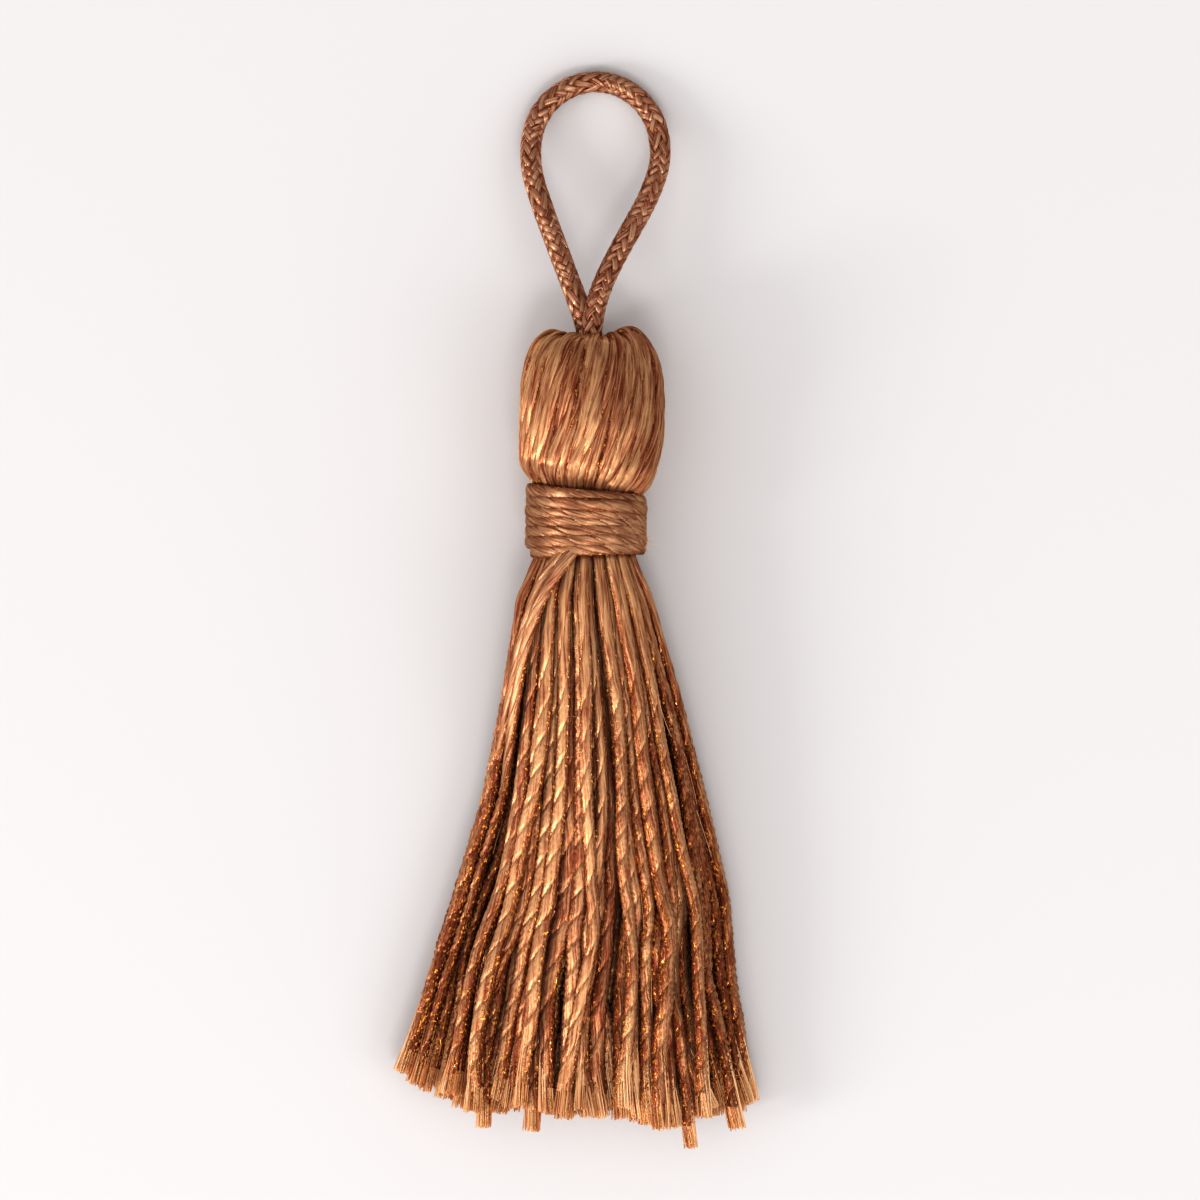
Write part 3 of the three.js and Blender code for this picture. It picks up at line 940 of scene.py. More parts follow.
@dataclass
class HangingLoop:
    """The braided cord, from its left end in the head, round the loop, to its right end."""

    diameter: float = 2.0
    strand_radius: float = 0.77
    strand_lift: float = 0.1
    strand_width: float = 0.66
    flatness: float = 0.42
    lay_length: float = 8.4
    strands_each_way: int = 8
    route: tuple[tuple[float, float, float], ...] = (
        (1.0, 34.6, 5.25),
        (0.95, 36.4, 5.25),
        (0.65, 38.4, 5.2),
        (0.0, 40.4, 5.05),
        (-0.75, 42.4, 4.8),
        (-1.5, 44.4, 4.5),
        (-2.2, 46.3, 4.15),
        (-2.9, 48.2, 3.75),
        (-3.55, 50.1, 3.3),
        (-4.1, 51.9, 2.85),
        (-4.4, 53.7, 2.4),
        (-4.35, 55.7, 1.9),
        (-3.8, 57.7, 1.5),
        (-2.55, 59.5, 1.2),
        (-0.6, 60.8, 1.03),
        (1.65, 61.25, 1.0),
        (3.9, 60.8, 1.03),
        (5.8, 59.5, 1.25),
        (7.05, 57.7, 1.6),
        (7.6, 55.6, 2.15),
        (7.6, 53.6, 2.75),
        (7.1, 51.7, 3.35),
        (6.3, 49.8, 3.95),
        (5.35, 48.0, 4.55),
        (4.35, 46.2, 5.15),
        (3.35, 44.3, 5.7),
        (2.45, 42.4, 6.25),
        (1.75, 40.4, 6.75),
        (1.35, 38.4, 7.15),
        (1.2, 36.4, 7.35),
        (1.15, 34.6, 7.35),
    )

    def middles(self) -> np.ndarray:
        """Gives the cord's smooth centreline, about a third of a millimetre apart.

        Returns:
            Its points, in millimetres.
        """
        points = np.array(self.route)
        ahead = np.vstack([points[:1] * 2 - points[1:2], points, points[-1:] * 2 - points[-2:-1]])
        line = []
        for before, start, end, after in zip(ahead, ahead[1:], ahead[2:], ahead[3:]):
            for share in np.linspace(0.0, 1.0, 6, endpoint=False):
                cubic = 3 * start - before - 3 * end + after
                square = 2 * before - 5 * start + 4 * end - after
                straight = 2 * start + (end - before) * share
                line.append(0.5 * (straight + square * share**2 + cubic * share**3))
        line.append(points[-1])
        return np.array(line)

    def carried(self, middles: np.ndarray) -> np.ndarray:
        """Carries one direction along the line without turning it about the line.

        Args:
            middles: The centreline.

        Returns:
            A direction square to the line at each point.
        """
        headings = unit(np.gradient(middles, axis=0))
        out = [np.array([0.0, 0.0, 1.0])]
        for heading in headings[1:]:
            level = out[-1] - heading * np.dot(out[-1], heading)
            out.append(level / np.linalg.norm(level))
        return np.array(out)

    def build(self, braid: RoundBraid, finish: bpy.types.Material) -> bpy.types.Object:
        """Args:
            braid: The tree that plaits it.
            finish: Its material.

        Returns:
            The piece.
        """
        middles = self.middles()
        steps = np.linalg.norm(np.diff(middles, axis=0), axis=1)
        run = np.concatenate([[0], np.cumsum(steps)])
        uneven = 0.05 * np.sin(run * 0.55) + 0.03 * np.sin(run * 1.3 + 1.0)
        guides = Guides()
        guides.add(
            middles,
            self.carried(middles),
            breadth=self.strand_width * MM * (1 + 0.8 * uneven),
            turns=run / self.lay_length + uneven,
            tone=0.4,
        )
        values = {
            "Radius": self.strand_radius * MM,
            "Lift": self.strand_lift * MM,
            "Flatness": self.flatness,
            "Step": 0.16 * MM,
            "Strands Each Way": self.strands_each_way,
            "Material": finish,
        }
        piece = braid.applied(guides.mesh("loop_path"), "braided_loop", values)
        finished(piece, "braided_cord", "hanging_loop")
        return piece


@dataclass
class Head:
    """The folded yarns over the cord's ends, down to the neck."""

    axis_height: float = 6.2
    belly_x: float = 1.3
    neck_x: float = 0.74
    depth_share: float = 0.97
    yarns: int = 40
    twist: float = -0.34
    top: float = 38.1
    seat: float = 23.3
    seat_slope: float = 0.15
    belly: float = 29.5
    thickness: float = 0.95
    twist_length: float = 14.0
    plying: Plying = Plying(reach=0.17, width=0.92, own_twist=1.0)
    outline: tuple[tuple[float, float], ...] = (
        (35.2, 1.45),
        (36.3, 1.75),
        (37.2, 2.3),
        (37.75, 3.1),
        (37.85, 3.7),
        (37.6, 4.4),
        (36.7, 5.4),
        (35.1, 6.15),
        (33.1, 6.6),
        (30.9, 6.85),
        (28.8, 6.87),
        (26.8, 6.66),
        (25.0, 6.4),
        (24.1, 6.0),
        (23.4, 5.3),
        (22.8, 4.9),
        (21.5, 4.8),
    )

    def surface(self, places: np.ndarray, radii: np.ndarray, angles: np.ndarray) -> np.ndarray:
        """Gives points of the head, which is turned, leans, and is pressed flat where it rests.

        Args:
            places: How far along the tassel each point is.
            radii: How far from the head's axis.
            angles: How far round from the top, with the right positive.

        Returns:
            The points.
        """
        to_head = smoothstep(places, self.seat, self.belly)
        x = self.neck_x + (self.belly_x - self.neck_x) * to_head + radii * np.sin(angles)
        share = 1.0 + (self.depth_share - 1.0) * to_head
        z = self.axis_height + radii * np.cos(angles) * share
        lobes = 0.3 * np.cos(2 * angles - math.pi) + 0.2 * np.sin(angles)
        shoulder = smoothstep(places, 36.0, 37.5) * smoothstep(radii, 1.5, 3.0)
        drop = np.clip((self.belly - places) / (self.belly - self.seat), 0.0, 1.0)
        y = places + shoulder * lobes - self.seat_slope * (x - self.neck_x) * drop
        return np.stack([x, y, z], axis=-1)

    def guides(self) -> Guides:
        """Lays out the folded yarns, each from inside the dimple, over the crown, to the neck.

        Returns:
            The yarns' lines.
        """
        rng = np.random.default_rng(SEED)
        rows = np.array(self.outline)
        lengths = np.concatenate([[0], np.cumsum(np.linalg.norm(np.diff(rows, axis=0), axis=1))])
        samples = np.linspace(0, lengths[-1], 60)
        places = np.interp(samples, lengths, rows[:, 0])
        radii = np.interp(samples, lengths, rows[:, 1])
        for _ in range(3):
            places[1:-1] = 0.25 * places[:-2] + 0.5 * places[1:-1] + 0.25 * places[2:]
            radii[1:-1] = 0.25 * radii[:-2] + 0.5 * radii[1:-1] + 0.25 * radii[2:]
        rise, spread = np.gradient(places), np.gradient(radii)
        out_radial, out_along = -rise / np.hypot(rise, spread), spread / np.hypot(rise, spread)
        way_down = np.clip((self.top - places) / (self.top - self.seat), 0.0, 1.0)
        way_down = way_down * smoothstep(samples, 1.0, 7.0)
        guides = Guides()
        pitch = 2 * math.pi / self.yarns
        near_fold = 1.0 - smoothstep(radii, 2.2, 5.8)
        for number in range(self.yarns):
            start = (number + 0.5 + rng.uniform(-0.18, 0.18)) * pitch
            sway = 0.2 * pitch * np.sin(way_down * rng.uniform(2.0, 5.0) + rng.uniform(0, 2 * math.pi))
            angles = start + self.twist * way_down + sway
            under = 0.55 * near_fold * (number % 3 != 0) + 0.25 * near_fold * (number % 3 == 2)
            lift = rng.uniform(-0.2, 0.08) - under + 0.1 * np.sin(samples * rng.uniform(0.3, 0.8) + number)
            breadth = np.clip(radii * pitch * 1.5, 0.5, 1.7) * rng.uniform(0.85, 1.2)
            breadth = breadth + near_fold * (0.75 if number % 3 == 0 else 0.35)
            depth = self.thickness * (0.65 + 0.35 * (1 - near_fold)) * np.ones_like(radii)
            inwards = 0.5 * depth - lift
            sunk_radii = np.maximum(radii - out_radial * inwards, 0.4)
            sunk_places = places - out_along * inwards
            points = self.surface(sunk_places, sunk_radii, angles)
            points[:, 2] = np.maximum(points[:, 2], 0.5 * depth)
            radial = np.stack([np.sin(angles), np.zeros_like(angles), np.cos(angles)], axis=-1)
            outward = radial * out_radial[:, None] + np.array([0.0, 1.0, 0.0]) * out_along[:, None]
            rate = rng.uniform(0.85, 1.15) / self.twist_length
            guides.add(
                points,
                outward,
                breadth=breadth * MM,
                depth=depth * MM,
                turns=rng.uniform() + samples * rate,
                tone=rng.uniform(),
            )
        return guides

    def core(self, finish: bpy.types.Material) -> bpy.types.Object:
        """Makes the painted-shade filling inside the head and neck, closed at both ends.

        Args:
            finish: Its material.

        Returns:
            The piece.
        """
        sides = 40
        rows = [(33.0, 0.01), (34.4, 1.8), (35.2, 3.0), (35.0, 4.2), (34.2, 5.0)]
        rows += [(y, r - 0.95) for y, r in self.outline if y < 33.5 and r > 6.5]
        rows += [(25.0, 5.1), (24.0, 4.3), (22.4, 3.9), (21.9, 4.8), (18.8, 4.75), (18.2, 3.9)]
        rows += [(15.0, 2.6), (13.0, 0.01)]
        places = np.array([row[0] for row in rows])
        radii = np.array([row[1] for row in rows])
        angles = np.linspace(0, 2 * math.pi, sides, endpoint=False)
        points = np.concatenate(
            [self.surface(np.full(sides, y), np.full(sides, r), angles) for y, r in zip(places, radii)]
        )
        points[:, 2] = np.maximum(points[:, 2], 0.5)
        faces = []
        for ring in range(len(rows) - 1):
            for side in range(sides):
                after = (side + 1) % sides
                a, b = ring * sides + side, ring * sides + after
                faces.append((a, a + sides, b + sides, b))
        faces.append(tuple(range(sides)))
        faces.append(tuple(range(len(points) - 1, len(points) - sides - 1, -1)))
        mesh = bpy.data.meshes.new("hank_core")
        mesh.from_pydata((points * MM).tolist(), [], faces)
        mesh.materials.append(finish)
        mesh.polygons.foreach_set("use_smooth", [True] * len(mesh.polygons))
        piece = bpy.data.objects.new("hank_core", mesh)
        bpy.context.scene.collection.objects.link(piece)
        return finished(piece, "yarn", "yarn_bundle")

    def build(self, yarn: PliedYarn, finish: bpy.types.Material) -> bpy.types.Object:
        """Makes the head's yarns.

        Args:
            yarn: The tree that plies them.
            finish: Their material.

        Returns:
            The piece.
        """
        values = self.plying.values(0.35, 8, finish)
        piece = yarn.applied(self.guides().mesh("head_lines"), "head_yarns", values)
        return finished(piece, "yarn", "yarn_bundle")


@dataclass
class NeckBinding:
    """One yarn wound round the neck, and its two ends."""

    turns: float = 6.6
    low: float = 17.35
    high: float = 22.65
    radius: float = 5.27
    breadth: float = 1.3
    depth: float = 0.74
    axis_height: float = 6.2
    neck_x: float = 0.74
    slope: float = 0.15
    twist_length: float = 4.6
    plying: Plying = Plying(reach=0.13, width=0.98, own_twist=0.7)
    tails: tuple[tuple[tuple[float, float, float], ...], ...] = (
        (
            (0.9, 19.4, 10.9),
            (0.2, 18.2, 11.0),
            (-0.75, 16.9, 11.3),
            (-1.75, 15.5, 11.3),
            (-2.75, 14.0, 11.0),
            (-3.6, 12.3, 10.55),
            (-4.3, 10.4, 10.0),
            (-4.9, 8.2, 9.4),
            (-5.5, 5.0, 8.7),
            (-6.1, 1.0, 7.6),
            (-6.7, -4.0, 5.6),
            (-7.2, -9.0, 3.2),
        ),
        (
            (-0.2, 19.2, 10.8),
            (-0.9, 17.9, 10.85),
            (-1.8, 16.6, 10.85),
            (-2.8, 15.2, 10.5),
            (-3.6, 13.7, 10.0),
            (-4.3, 11.9, 9.5),
            (-4.9, 10.0, 9.0),
            (-5.6, 7.0, 8.2),
            (-6.5, 2.5, 6.6),
            (-7.3, -2.0, 5.0),
        ),
    )

    def wound(self, guides: Guides) -> None:
        """Winds the yarn from the top of the neck to its foot.

        Args:
            guides: Where its line goes.
        """
        rng = np.random.default_rng(SEED + 1)
        steps = int(self.turns * 40)
        share = np.linspace(0, 1, steps)
        angles = -2 * math.pi * self.turns * share + 2.6
        heights = self.high + (self.low - self.high) * share
        wobble = np.interp(share * self.turns, np.arange(9), rng.uniform(-0.12, 0.12, 9))
        swell = np.interp(share * self.turns * 2, np.arange(18), rng.uniform(-0.08, 0.1, 18))
        bulge = np.exp(-(((share * self.turns - 1.35) / 0.16) ** 2))
        radii = self.radius + swell + 0.45 * bulge
        x = self.neck_x + radii * np.sin(angles)
        z = self.axis_height + radii * np.cos(angles)
        upper = np.clip((heights - self.low) / (self.high - self.low), 0, 1)
        y = heights + wobble + 0.12 * np.sin(2 * angles) - self.slope * (x - self.neck_x) * upper
        outward = np.stack([np.sin(angles), np.zeros(steps), np.cos(angles)], axis=1)
        run = share * self.turns * 2 * math.pi * self.radius
        guides.add(
            np.stack([x, y, z], axis=1),
            outward,
            breadth=self.breadth * MM * (1 + 0.1 * np.sin(run * 0.37)),
            depth=self.depth * MM,
            turns=run / self.twist_length,
            tone=0.45,
        )

    def guides(self) -> Guides:
        """Winds the yarn, and lays its ends over the skirt.

        Returns:
            The yarn's line, and its ends' lines.
        """
        guides = Guides()
        self.wound(guides)
        for number, tail in enumerate(self.tails):
            line = np.array(tail)
            away = np.column_stack([line[:, 0] - self.neck_x, np.zeros(len(line)), line[:, 2] - 4.0])
            run = np.concatenate([[0], np.cumsum(np.linalg.norm(np.diff(line, axis=0), axis=1))])
            guides.add(
                line,
                unit(away),
                breadth=np.linspace(1.25, 1.15, len(line)) * MM,
                depth=np.linspace(0.8, 0.9, len(line)) * MM,
                turns=run / 11.0 + 0.3 * number,
                tone=0.6 + 0.2 * number,
            )
        return guides

    def build(self, yarn: PliedYarn, finish: bpy.types.Material) -> bpy.types.Object:
        """Makes the binding.

        Args:
            yarn: The tree that plies it.
            finish: Its material.

        Returns:
            The piece.
        """
        values = self.plying.values(0.25, 10, finish)
        piece = yarn.applied(self.guides().mesh("binding_lines"), "wound_binding", values)
        return finished(piece, "binding_yarn", "neck_binding")


@dataclass
class Skirt:
    """The cut yarns below the binding, which part as they fall and lie level where they rest."""

    yarns: int = 134
    resting: int = 27
    root: float = 18.4
    step: float = 1.8
    lowest: float = -38.6
    widest_yarn: float = 1.38
    packing: float = 0.86
    width_varies: float = 0.2
    clumping: float = 0.22
    nearest: float = 0.93
    passes: int = 80
    twist_length: float = 5.6
    plying: Plying = Plying(reach=0.15, width=0.96, own_twist=1.35)
    brush: float = 2.2
    sections: tuple[tuple[float, float, float, float, float, float], ...] = (
        (18.4, -3.4, 4.9, 2.05, 10.35, 0.0),
        (16.4, -4.1, 5.5, 1.4, 11.0, 0.0),
        (12.8, -5.75, 7.05, 0.55, 11.1, 0.25),
        (3.5, -7.25, 9.75, 0.0, 10.6, 0.7),
        (-5.8, -9.1, 12.05, 0.0, 9.9, 0.9),
        (-15.1, -11.7, 14.2, 0.0, 9.2, 1.0),
        (-22.5, -14.1, 14.75, 0.0, 8.7, 1.0),
        (-29.9, -16.4, 16.05, 0.0, 8.2, 1.0),
        (-38.6, -18.0, 17.3, 0.0, 7.8, 1.0),
    )
    cut_line: tuple[tuple[float, float], ...] = (
        (-17.2, -30.3),
        (-13.7, -32.6),
        (-10.0, -34.0),
        (-0.7, -34.6),
        (3.9, -34.6),
        (7.6, -35.6),
        (11.3, -35.0),
        (14.6, -34.4),
        (16.9, -33.0),
    )
    missed: tuple[tuple[float, float], ...] = (
        (-8.7, -36.1),
        (-3.9, -36.5),
        (10.0, -38.1),
        (14.6, -36.5),
    )

    def outline(self, y: np.ndarray, angle: np.ndarray, inset: np.ndarray) -> tuple[np.ndarray, np.ndarray]:
        """Gives points of the skirt's section, round before it settles and flat underneath after.

        Args:
            y: How far along the tassel.
            angle: How far round from the top, with the right positive.
            inset: How far inside the skirt's own surface.

        Returns:
            The points' x and z.
        """
        left, right, under, top, settled = (along(list(self.sections), y, c) for c in range(1, 6))
        half = (right - left) / 2 - inset
        height = top - under - 2 * inset
        widest = 0.5 + (0.36 - 0.5) * settled
        cosine = np.cos(angle)
        upper = widest + (1 - widest) * np.maximum(cosine, 0)
        drop = (1 + 0.25 * settled) * np.abs(cosine) ** (1 - 0.5 * settled)
        rise = np.where(cosine >= 0, upper, widest * (1 - np.minimum(1, drop)))
        return (left + right) / 2 + half * np.sin(angle), under + inset + height * rise

    def stations(self) -> np.ndarray:
        """Gives the places along the tassel where the yarns are laid out, highest first."""
        return np.arange(self.root, self.lowest, -self.step)

    def yarn_widths(self, y: np.ndarray) -> np.ndarray:
        """Works out how wide a yarn can be where they share the skirt's section.

        Args:
            y: The places along the tassel.

        Returns:
            The width at each place.
        """
        angles = np.linspace(0, 2 * math.pi, 73)
        widths = []
        for place in y:
            x, z = self.outline(np.array(place), angles, 0.0)
            area = 0.5 * abs(np.sum(x[:-1] * z[1:] - x[1:] * z[:-1]))
            widths.append(math.sqrt(area * self.packing * 4 / (math.pi * self.yarns)))
        return np.minimum(np.array(widths), self.widest_yarn)

    def packed(self) -> np.ndarray:
        """Packs the yarns in a round hank: a row that rests on the surface, and the rest by no grid.

        Returns:
            For each yarn, how far out it is from 0 to 1, and its angle.
        """
        rng = np.random.default_rng(SEED + 2)
        across = np.linspace(-0.999, 0.999, self.resting)
        row = np.column_stack([np.ones(self.resting), math.pi - np.arcsin(across)])
        number = np.arange(self.yarns - self.resting) + 0.5
        reach = np.sqrt(number / len(number))
        angle = number * math.pi * (3 - math.sqrt(5)) + rng.uniform(-0.12, 0.12, len(number))
        return np.vstack([row, np.column_stack([reach, angle])])

    def laid(self) -> tuple[np.ndarray, np.ndarray]:
        """Lays the yarns from the hank's round section out to where they rest, and parts them.

        Returns:
            The yarns' x and z at each station, and their widths at each station.
        """
        rng = np.random.default_rng(SEED + 3)
        y = self.stations()
        own = 1.0 + rng.uniform(-self.width_varies, self.width_varies, (self.yarns, 1))
        widths = self.yarn_widths(y)[None, :] * own
        reach, angle = self.packed().T
        free = smoothstep(-y, -14.0, 22.0)
        sway = rng.uniform(0, 2 * math.pi, (self.yarns, 3))
        rate = rng.uniform(0.06, 0.22, (self.yarns, 2))
        amount = rng.uniform(0.2, 1.0, (self.yarns, 1))
        loose = (np.arange(self.yarns) >= self.resting)[:, None] * free
        target = np.empty((self.yarns, len(y), 2))
        for station, place in enumerate(y):
            edge = self.outline(np.array(place), angle, widths[:, station] * 0.5)
            low = self.outline(np.array(place), np.array(math.pi), 0.0)
            peak = self.outline(np.array(place), np.array(0.0), 0.0)
            centre = (float(low[0]), float(0.62 * low[1] + 0.38 * peak[1]))
            target[:, station, 0] = centre[0] + reach * (edge[0] - centre[0])
            target[:, station, 1] = centre[1] + reach * (edge[1] - centre[1])
        across = target[:, :, 0]
        clumps = np.sin(across * 1.15 + 0.05 * y[None, :]) + 0.6 * np.sin(across * 0.7 + 2.0)
        target[:, :, 0] += loose * (amount * np.sin(rate[:, :1] * y + sway[:, :1]) - self.clumping * clumps)
        target[:, :, 1] += 0.35 * loose * amount * np.sin(rate[:, 1:] * y + sway[:, 1:2])
        return self.parted(target, widths), widths

    def parted(self, target: np.ndarray, widths: np.ndarray) -> np.ndarray:
        """Pushes yarns that overlap away from each other, which leaves some of the overlap.

        Args:
            target: Where the yarns would like to lie, by yarn and station.
            widths: Each yarn's width at each station.

        Returns:
            Where they lie.
        """
        y = self.stations()
        places = target.copy()
        left, right, under, peak = (along(list(self.sections), y, c) for c in range(1, 5))
        touching = self.nearest * 0.5 * (widths[:, None] + widths[None, :])
        for _ in range(self.passes):
            gaps = places[:, None] - places[None, :]
            distances = np.linalg.norm(gaps, axis=-1)
            distances[np.arange(self.yarns), np.arange(self.yarns)] = 1e3
            overlap = np.maximum(touching - distances, 0)
            push = np.sum(gaps / np.maximum(distances, 1e-3)[..., None] * overlap[..., None], axis=1) * 0.3
            push[:, 1:-1] = 0.5 * push[:, 1:-1] + 0.25 * (push[:, :-2] + push[:, 2:])
            push[: self.resting] *= 0.1
            places += push + 0.03 * (target - places)
            places[: self.resting] += 0.4 * (target - places)[: self.resting]
            low = under + widths * 0.5
            places[..., 1] = np.clip(places[..., 1], low, np.maximum(peak - widths * 0.5, low))
            places[..., 0] = np.clip(places[..., 0], left + widths * 0.45, right - widths * 0.45)
        return places

    def ends_at(self, x: np.ndarray, z: np.ndarray) -> np.ndarray:
        """Says where each yarn was cut.

        Args:
            x: How far across each yarn ends.
            z: How high each yarn ends.

        Returns:
            The place of each cut along the tassel.
        """
        rng = np.random.default_rng(SEED + 4)
        line = np.array(self.cut_line)
        ends = np.interp(x, line[:, 0], line[:, 1]) + rng.uniform(-0.8, 0.6, len(x))
        ends += np.where(z < 1.4, 1.4, 0.0)
        for place, end in self.missed:
            nearest = np.argmin(np.abs(x - place) - 0.12 * z)
            ends[nearest] = end
        return ends

    def lines(self) -> list[dict[str, object]]:
        """Gives every yarn's line down to its cut, with the group that it belongs to.

        Returns:
            For each yarn its points, outward directions, widths and group.
        """
        y = self.stations()
        places, widths = self.laid()
        near_end = int(np.argmin(np.abs(y + 33.0)))
        ends = self.ends_at(places[:, near_end, 0], places[:, near_end, 1])
        half_way = len(y) // 2
        peak = float(along(list(self.sections), np.array(y[half_way]), 4))
        lines = []
        for number in range(self.yarns):
            cut = ends[number] + self.brush
            reached = np.concatenate([y[y > cut + 0.5], [cut]])
            x, z = (np.interp(-reached, -y, places[number, :, axis]) for axis in (0, 1))
            line = np.column_stack([x, reached, z])
            clear = smoothstep(z, 0.8, 2.8)
            upwards = (z - 3.0) * clear + 4 * (1 - clear)
            away = np.column_stack([(x - 0.5) * clear, np.zeros(len(x)), upwards])
            middle = places[number, half_way]
            if middle[1] > 0.62 * peak:
                group = "top"
            elif middle[1] < 2.4 or abs(middle[0] - 1.4) > 8.0:
                group = "under"
            else:
                group = "inside"
            breadth = np.interp(-reached, -y, widths[number])
            lines.append({"points": line, "outward": unit(away), "breadth": breadth, "group": group})
        return lines

    def guides(self) -> dict[str, Guides]:
        """Gives the yarns' lines to the tree, in the groups that become pieces.

        Returns:
            The lines of the top, the inside and the underside of the skirt.
        """
        rng = np.random.default_rng(SEED + 5)
        groups: dict[str, Guides] = {}
        for yarn in self.lines():
            points = yarn["points"]
            y = points[:, 1]
            waves = 0.6 + 0.4 * np.sin(y * rng.uniform(0.05, 0.2) + rng.uniform(0, 6))
            flatness = rng.choice([0.1, 0.2, 0.5], p=[0.45, 0.35, 0.2]) * waves
            flatness = flatness + 0.2 * smoothstep(y, 2.0, 15.0)
            flare = 1.0 + 0.15 * smoothstep(-y, -y[-1] - 3.5, -y[-1])
            rate = self.twist_at(y) * rng.uniform(0.75, 1.3)
            steps = np.concatenate([[0], -np.diff(y)])
            groups.setdefault(yarn["group"], Guides()).add(
                points,
                yarn["outward"],
                breadth=yarn["breadth"] * (1.06 + flatness) * flare * MM,
                depth=yarn["breadth"] * (1.0 - 0.55 * flatness) * MM,
                turns=rng.uniform() + np.cumsum(rate * steps),
                tone=rng.uniform(),
            )
        return groups

    def twist_at(self, y: np.ndarray) -> np.ndarray:
        """Says how fast a yarn turns, which is slower where it was drawn tight at the neck.

        Args:
            y: The places along the tassel.

        Returns:
            Turns in a millimetre.
        """
        return (1.0 - 0.75 * smoothstep(y, -3.0, 13.0)) / self.twist_length

    def build(self, yarn: PliedYarn, finish: bpy.types.Material) -> list[bpy.types.Object]:
        """Makes the skirt's yarns.

        Args:
            yarn: The tree that plies them.
            finish: Their material.

        Returns:
            The pieces.
        """
        pieces = []
        for group, guides in self.guides().items():
            log.info("%d yarns in the skirt's %s", len(guides.points), group)
            step, sides = (0.5, 8) if group == "top" else (0.65, 6)
            values = self.plying.values(step, sides, finish)
            piece = yarn.applied(guides.mesh("skirt_lines"), "skirt_yarns_" + group, values)
            pieces.append(finished(piece, "yarn", "yarn_bundle"))
        return pieces


@dataclass
class CutEnds:
    """The filaments that open like a brush where each yarn of the skirt was cut."""

    each: int = 48
    length: float = 5.4
    width: float = 0.15
    flare: float = 1.12
    samples: int = 7

    def guides(self, skirt: Skirt) -> Guides:
        """Lays the filaments round the end of each yarn.

        Args:
            skirt: The skirt whose yarns they belong to.

        Returns:
            The filaments' lines.
        """
        rng = np.random.default_rng(SEED + 6)
        guides = Guides()
        for yarn in skirt.lines():
            points, breadth = yarn["points"], yarn["breadth"]
            end = points[-1]
            heading = unit(points[-1] - points[-3])
            lift = unit(yarn["outward"][-1] - heading * np.dot(yarn["outward"][-1], heading))
            side = np.cross(heading, lift)
            half = 0.5 * breadth[-1]
            tone = rng.uniform()
            lean = side * rng.uniform(-0.1, 0.1) + lift * rng.uniform(0.0, 0.1)
            for _ in range(self.each):
                own = lean + side * rng.uniform(-0.05, 0.05) + lift * rng.uniform(-0.03, 0.06)
                angle = rng.uniform(0, 2 * math.pi)
                reach = half * math.sqrt(rng.uniform(0.3, 1.1))
                open_to = reach * rng.uniform(0.95, self.flare)
                start = -rng.uniform(0.35, 1.0) * self.length
                finish = skirt.brush + rng.uniform(-0.2, 0.15)
                steps = np.linspace(start, finish, self.samples)
                grown = np.linspace(0, 1, self.samples)
                spread = reach * 0.7 + (open_to - reach * 0.7) * smoothstep(grown, 0.0, 0.55)
                spin = angle + 0.5 * (1 - grown)
                line = end + heading * steps[:, None] + own * np.maximum(steps + 1.5, 0.0)[:, None]
                line = line + side * (spread * np.sin(spin))[:, None]
                line = line + lift * (spread * np.cos(spin))[:, None]
                line[:, 2] = np.maximum(line[:, 2], 0.5 * self.width)
                narrowing = np.linspace(1.0, 0.8, self.samples)
                guides.add(
                    line,
                    np.tile(lift, (self.samples, 1)),
                    breadth=self.width * rng.uniform(0.7, 1.25) * narrowing * MM,
                    # Painted light and shade: filaments on the upper side of the brush get a higher rise,
                    # and so a lighter colour.
                    rise=0.25 * math.cos(angle) + 0.1,
                    tone=min(1.0, 0.6 * tone + 0.4 * rng.uniform()),
                )
        return guides

    def build(self, tree: LooseFilaments, skirt: Skirt, finish: bpy.types.Material) -> bpy.types.Object:
        """Makes the filaments of the cut ends.

        Args:
            tree: The tree that makes them.
            skirt: The skirt whose yarns they belong to.
            finish: Their material.

        Returns:
            The piece.
        """
        values = {"Step": 1.3 * MM, "Sides": 3, "Material": finish}
        piece = tree.applied(self.guides(skirt).mesh("cut_end_lines"), "cut_ends", values)
        return finished(piece, "yarn", "yarn_bundle")


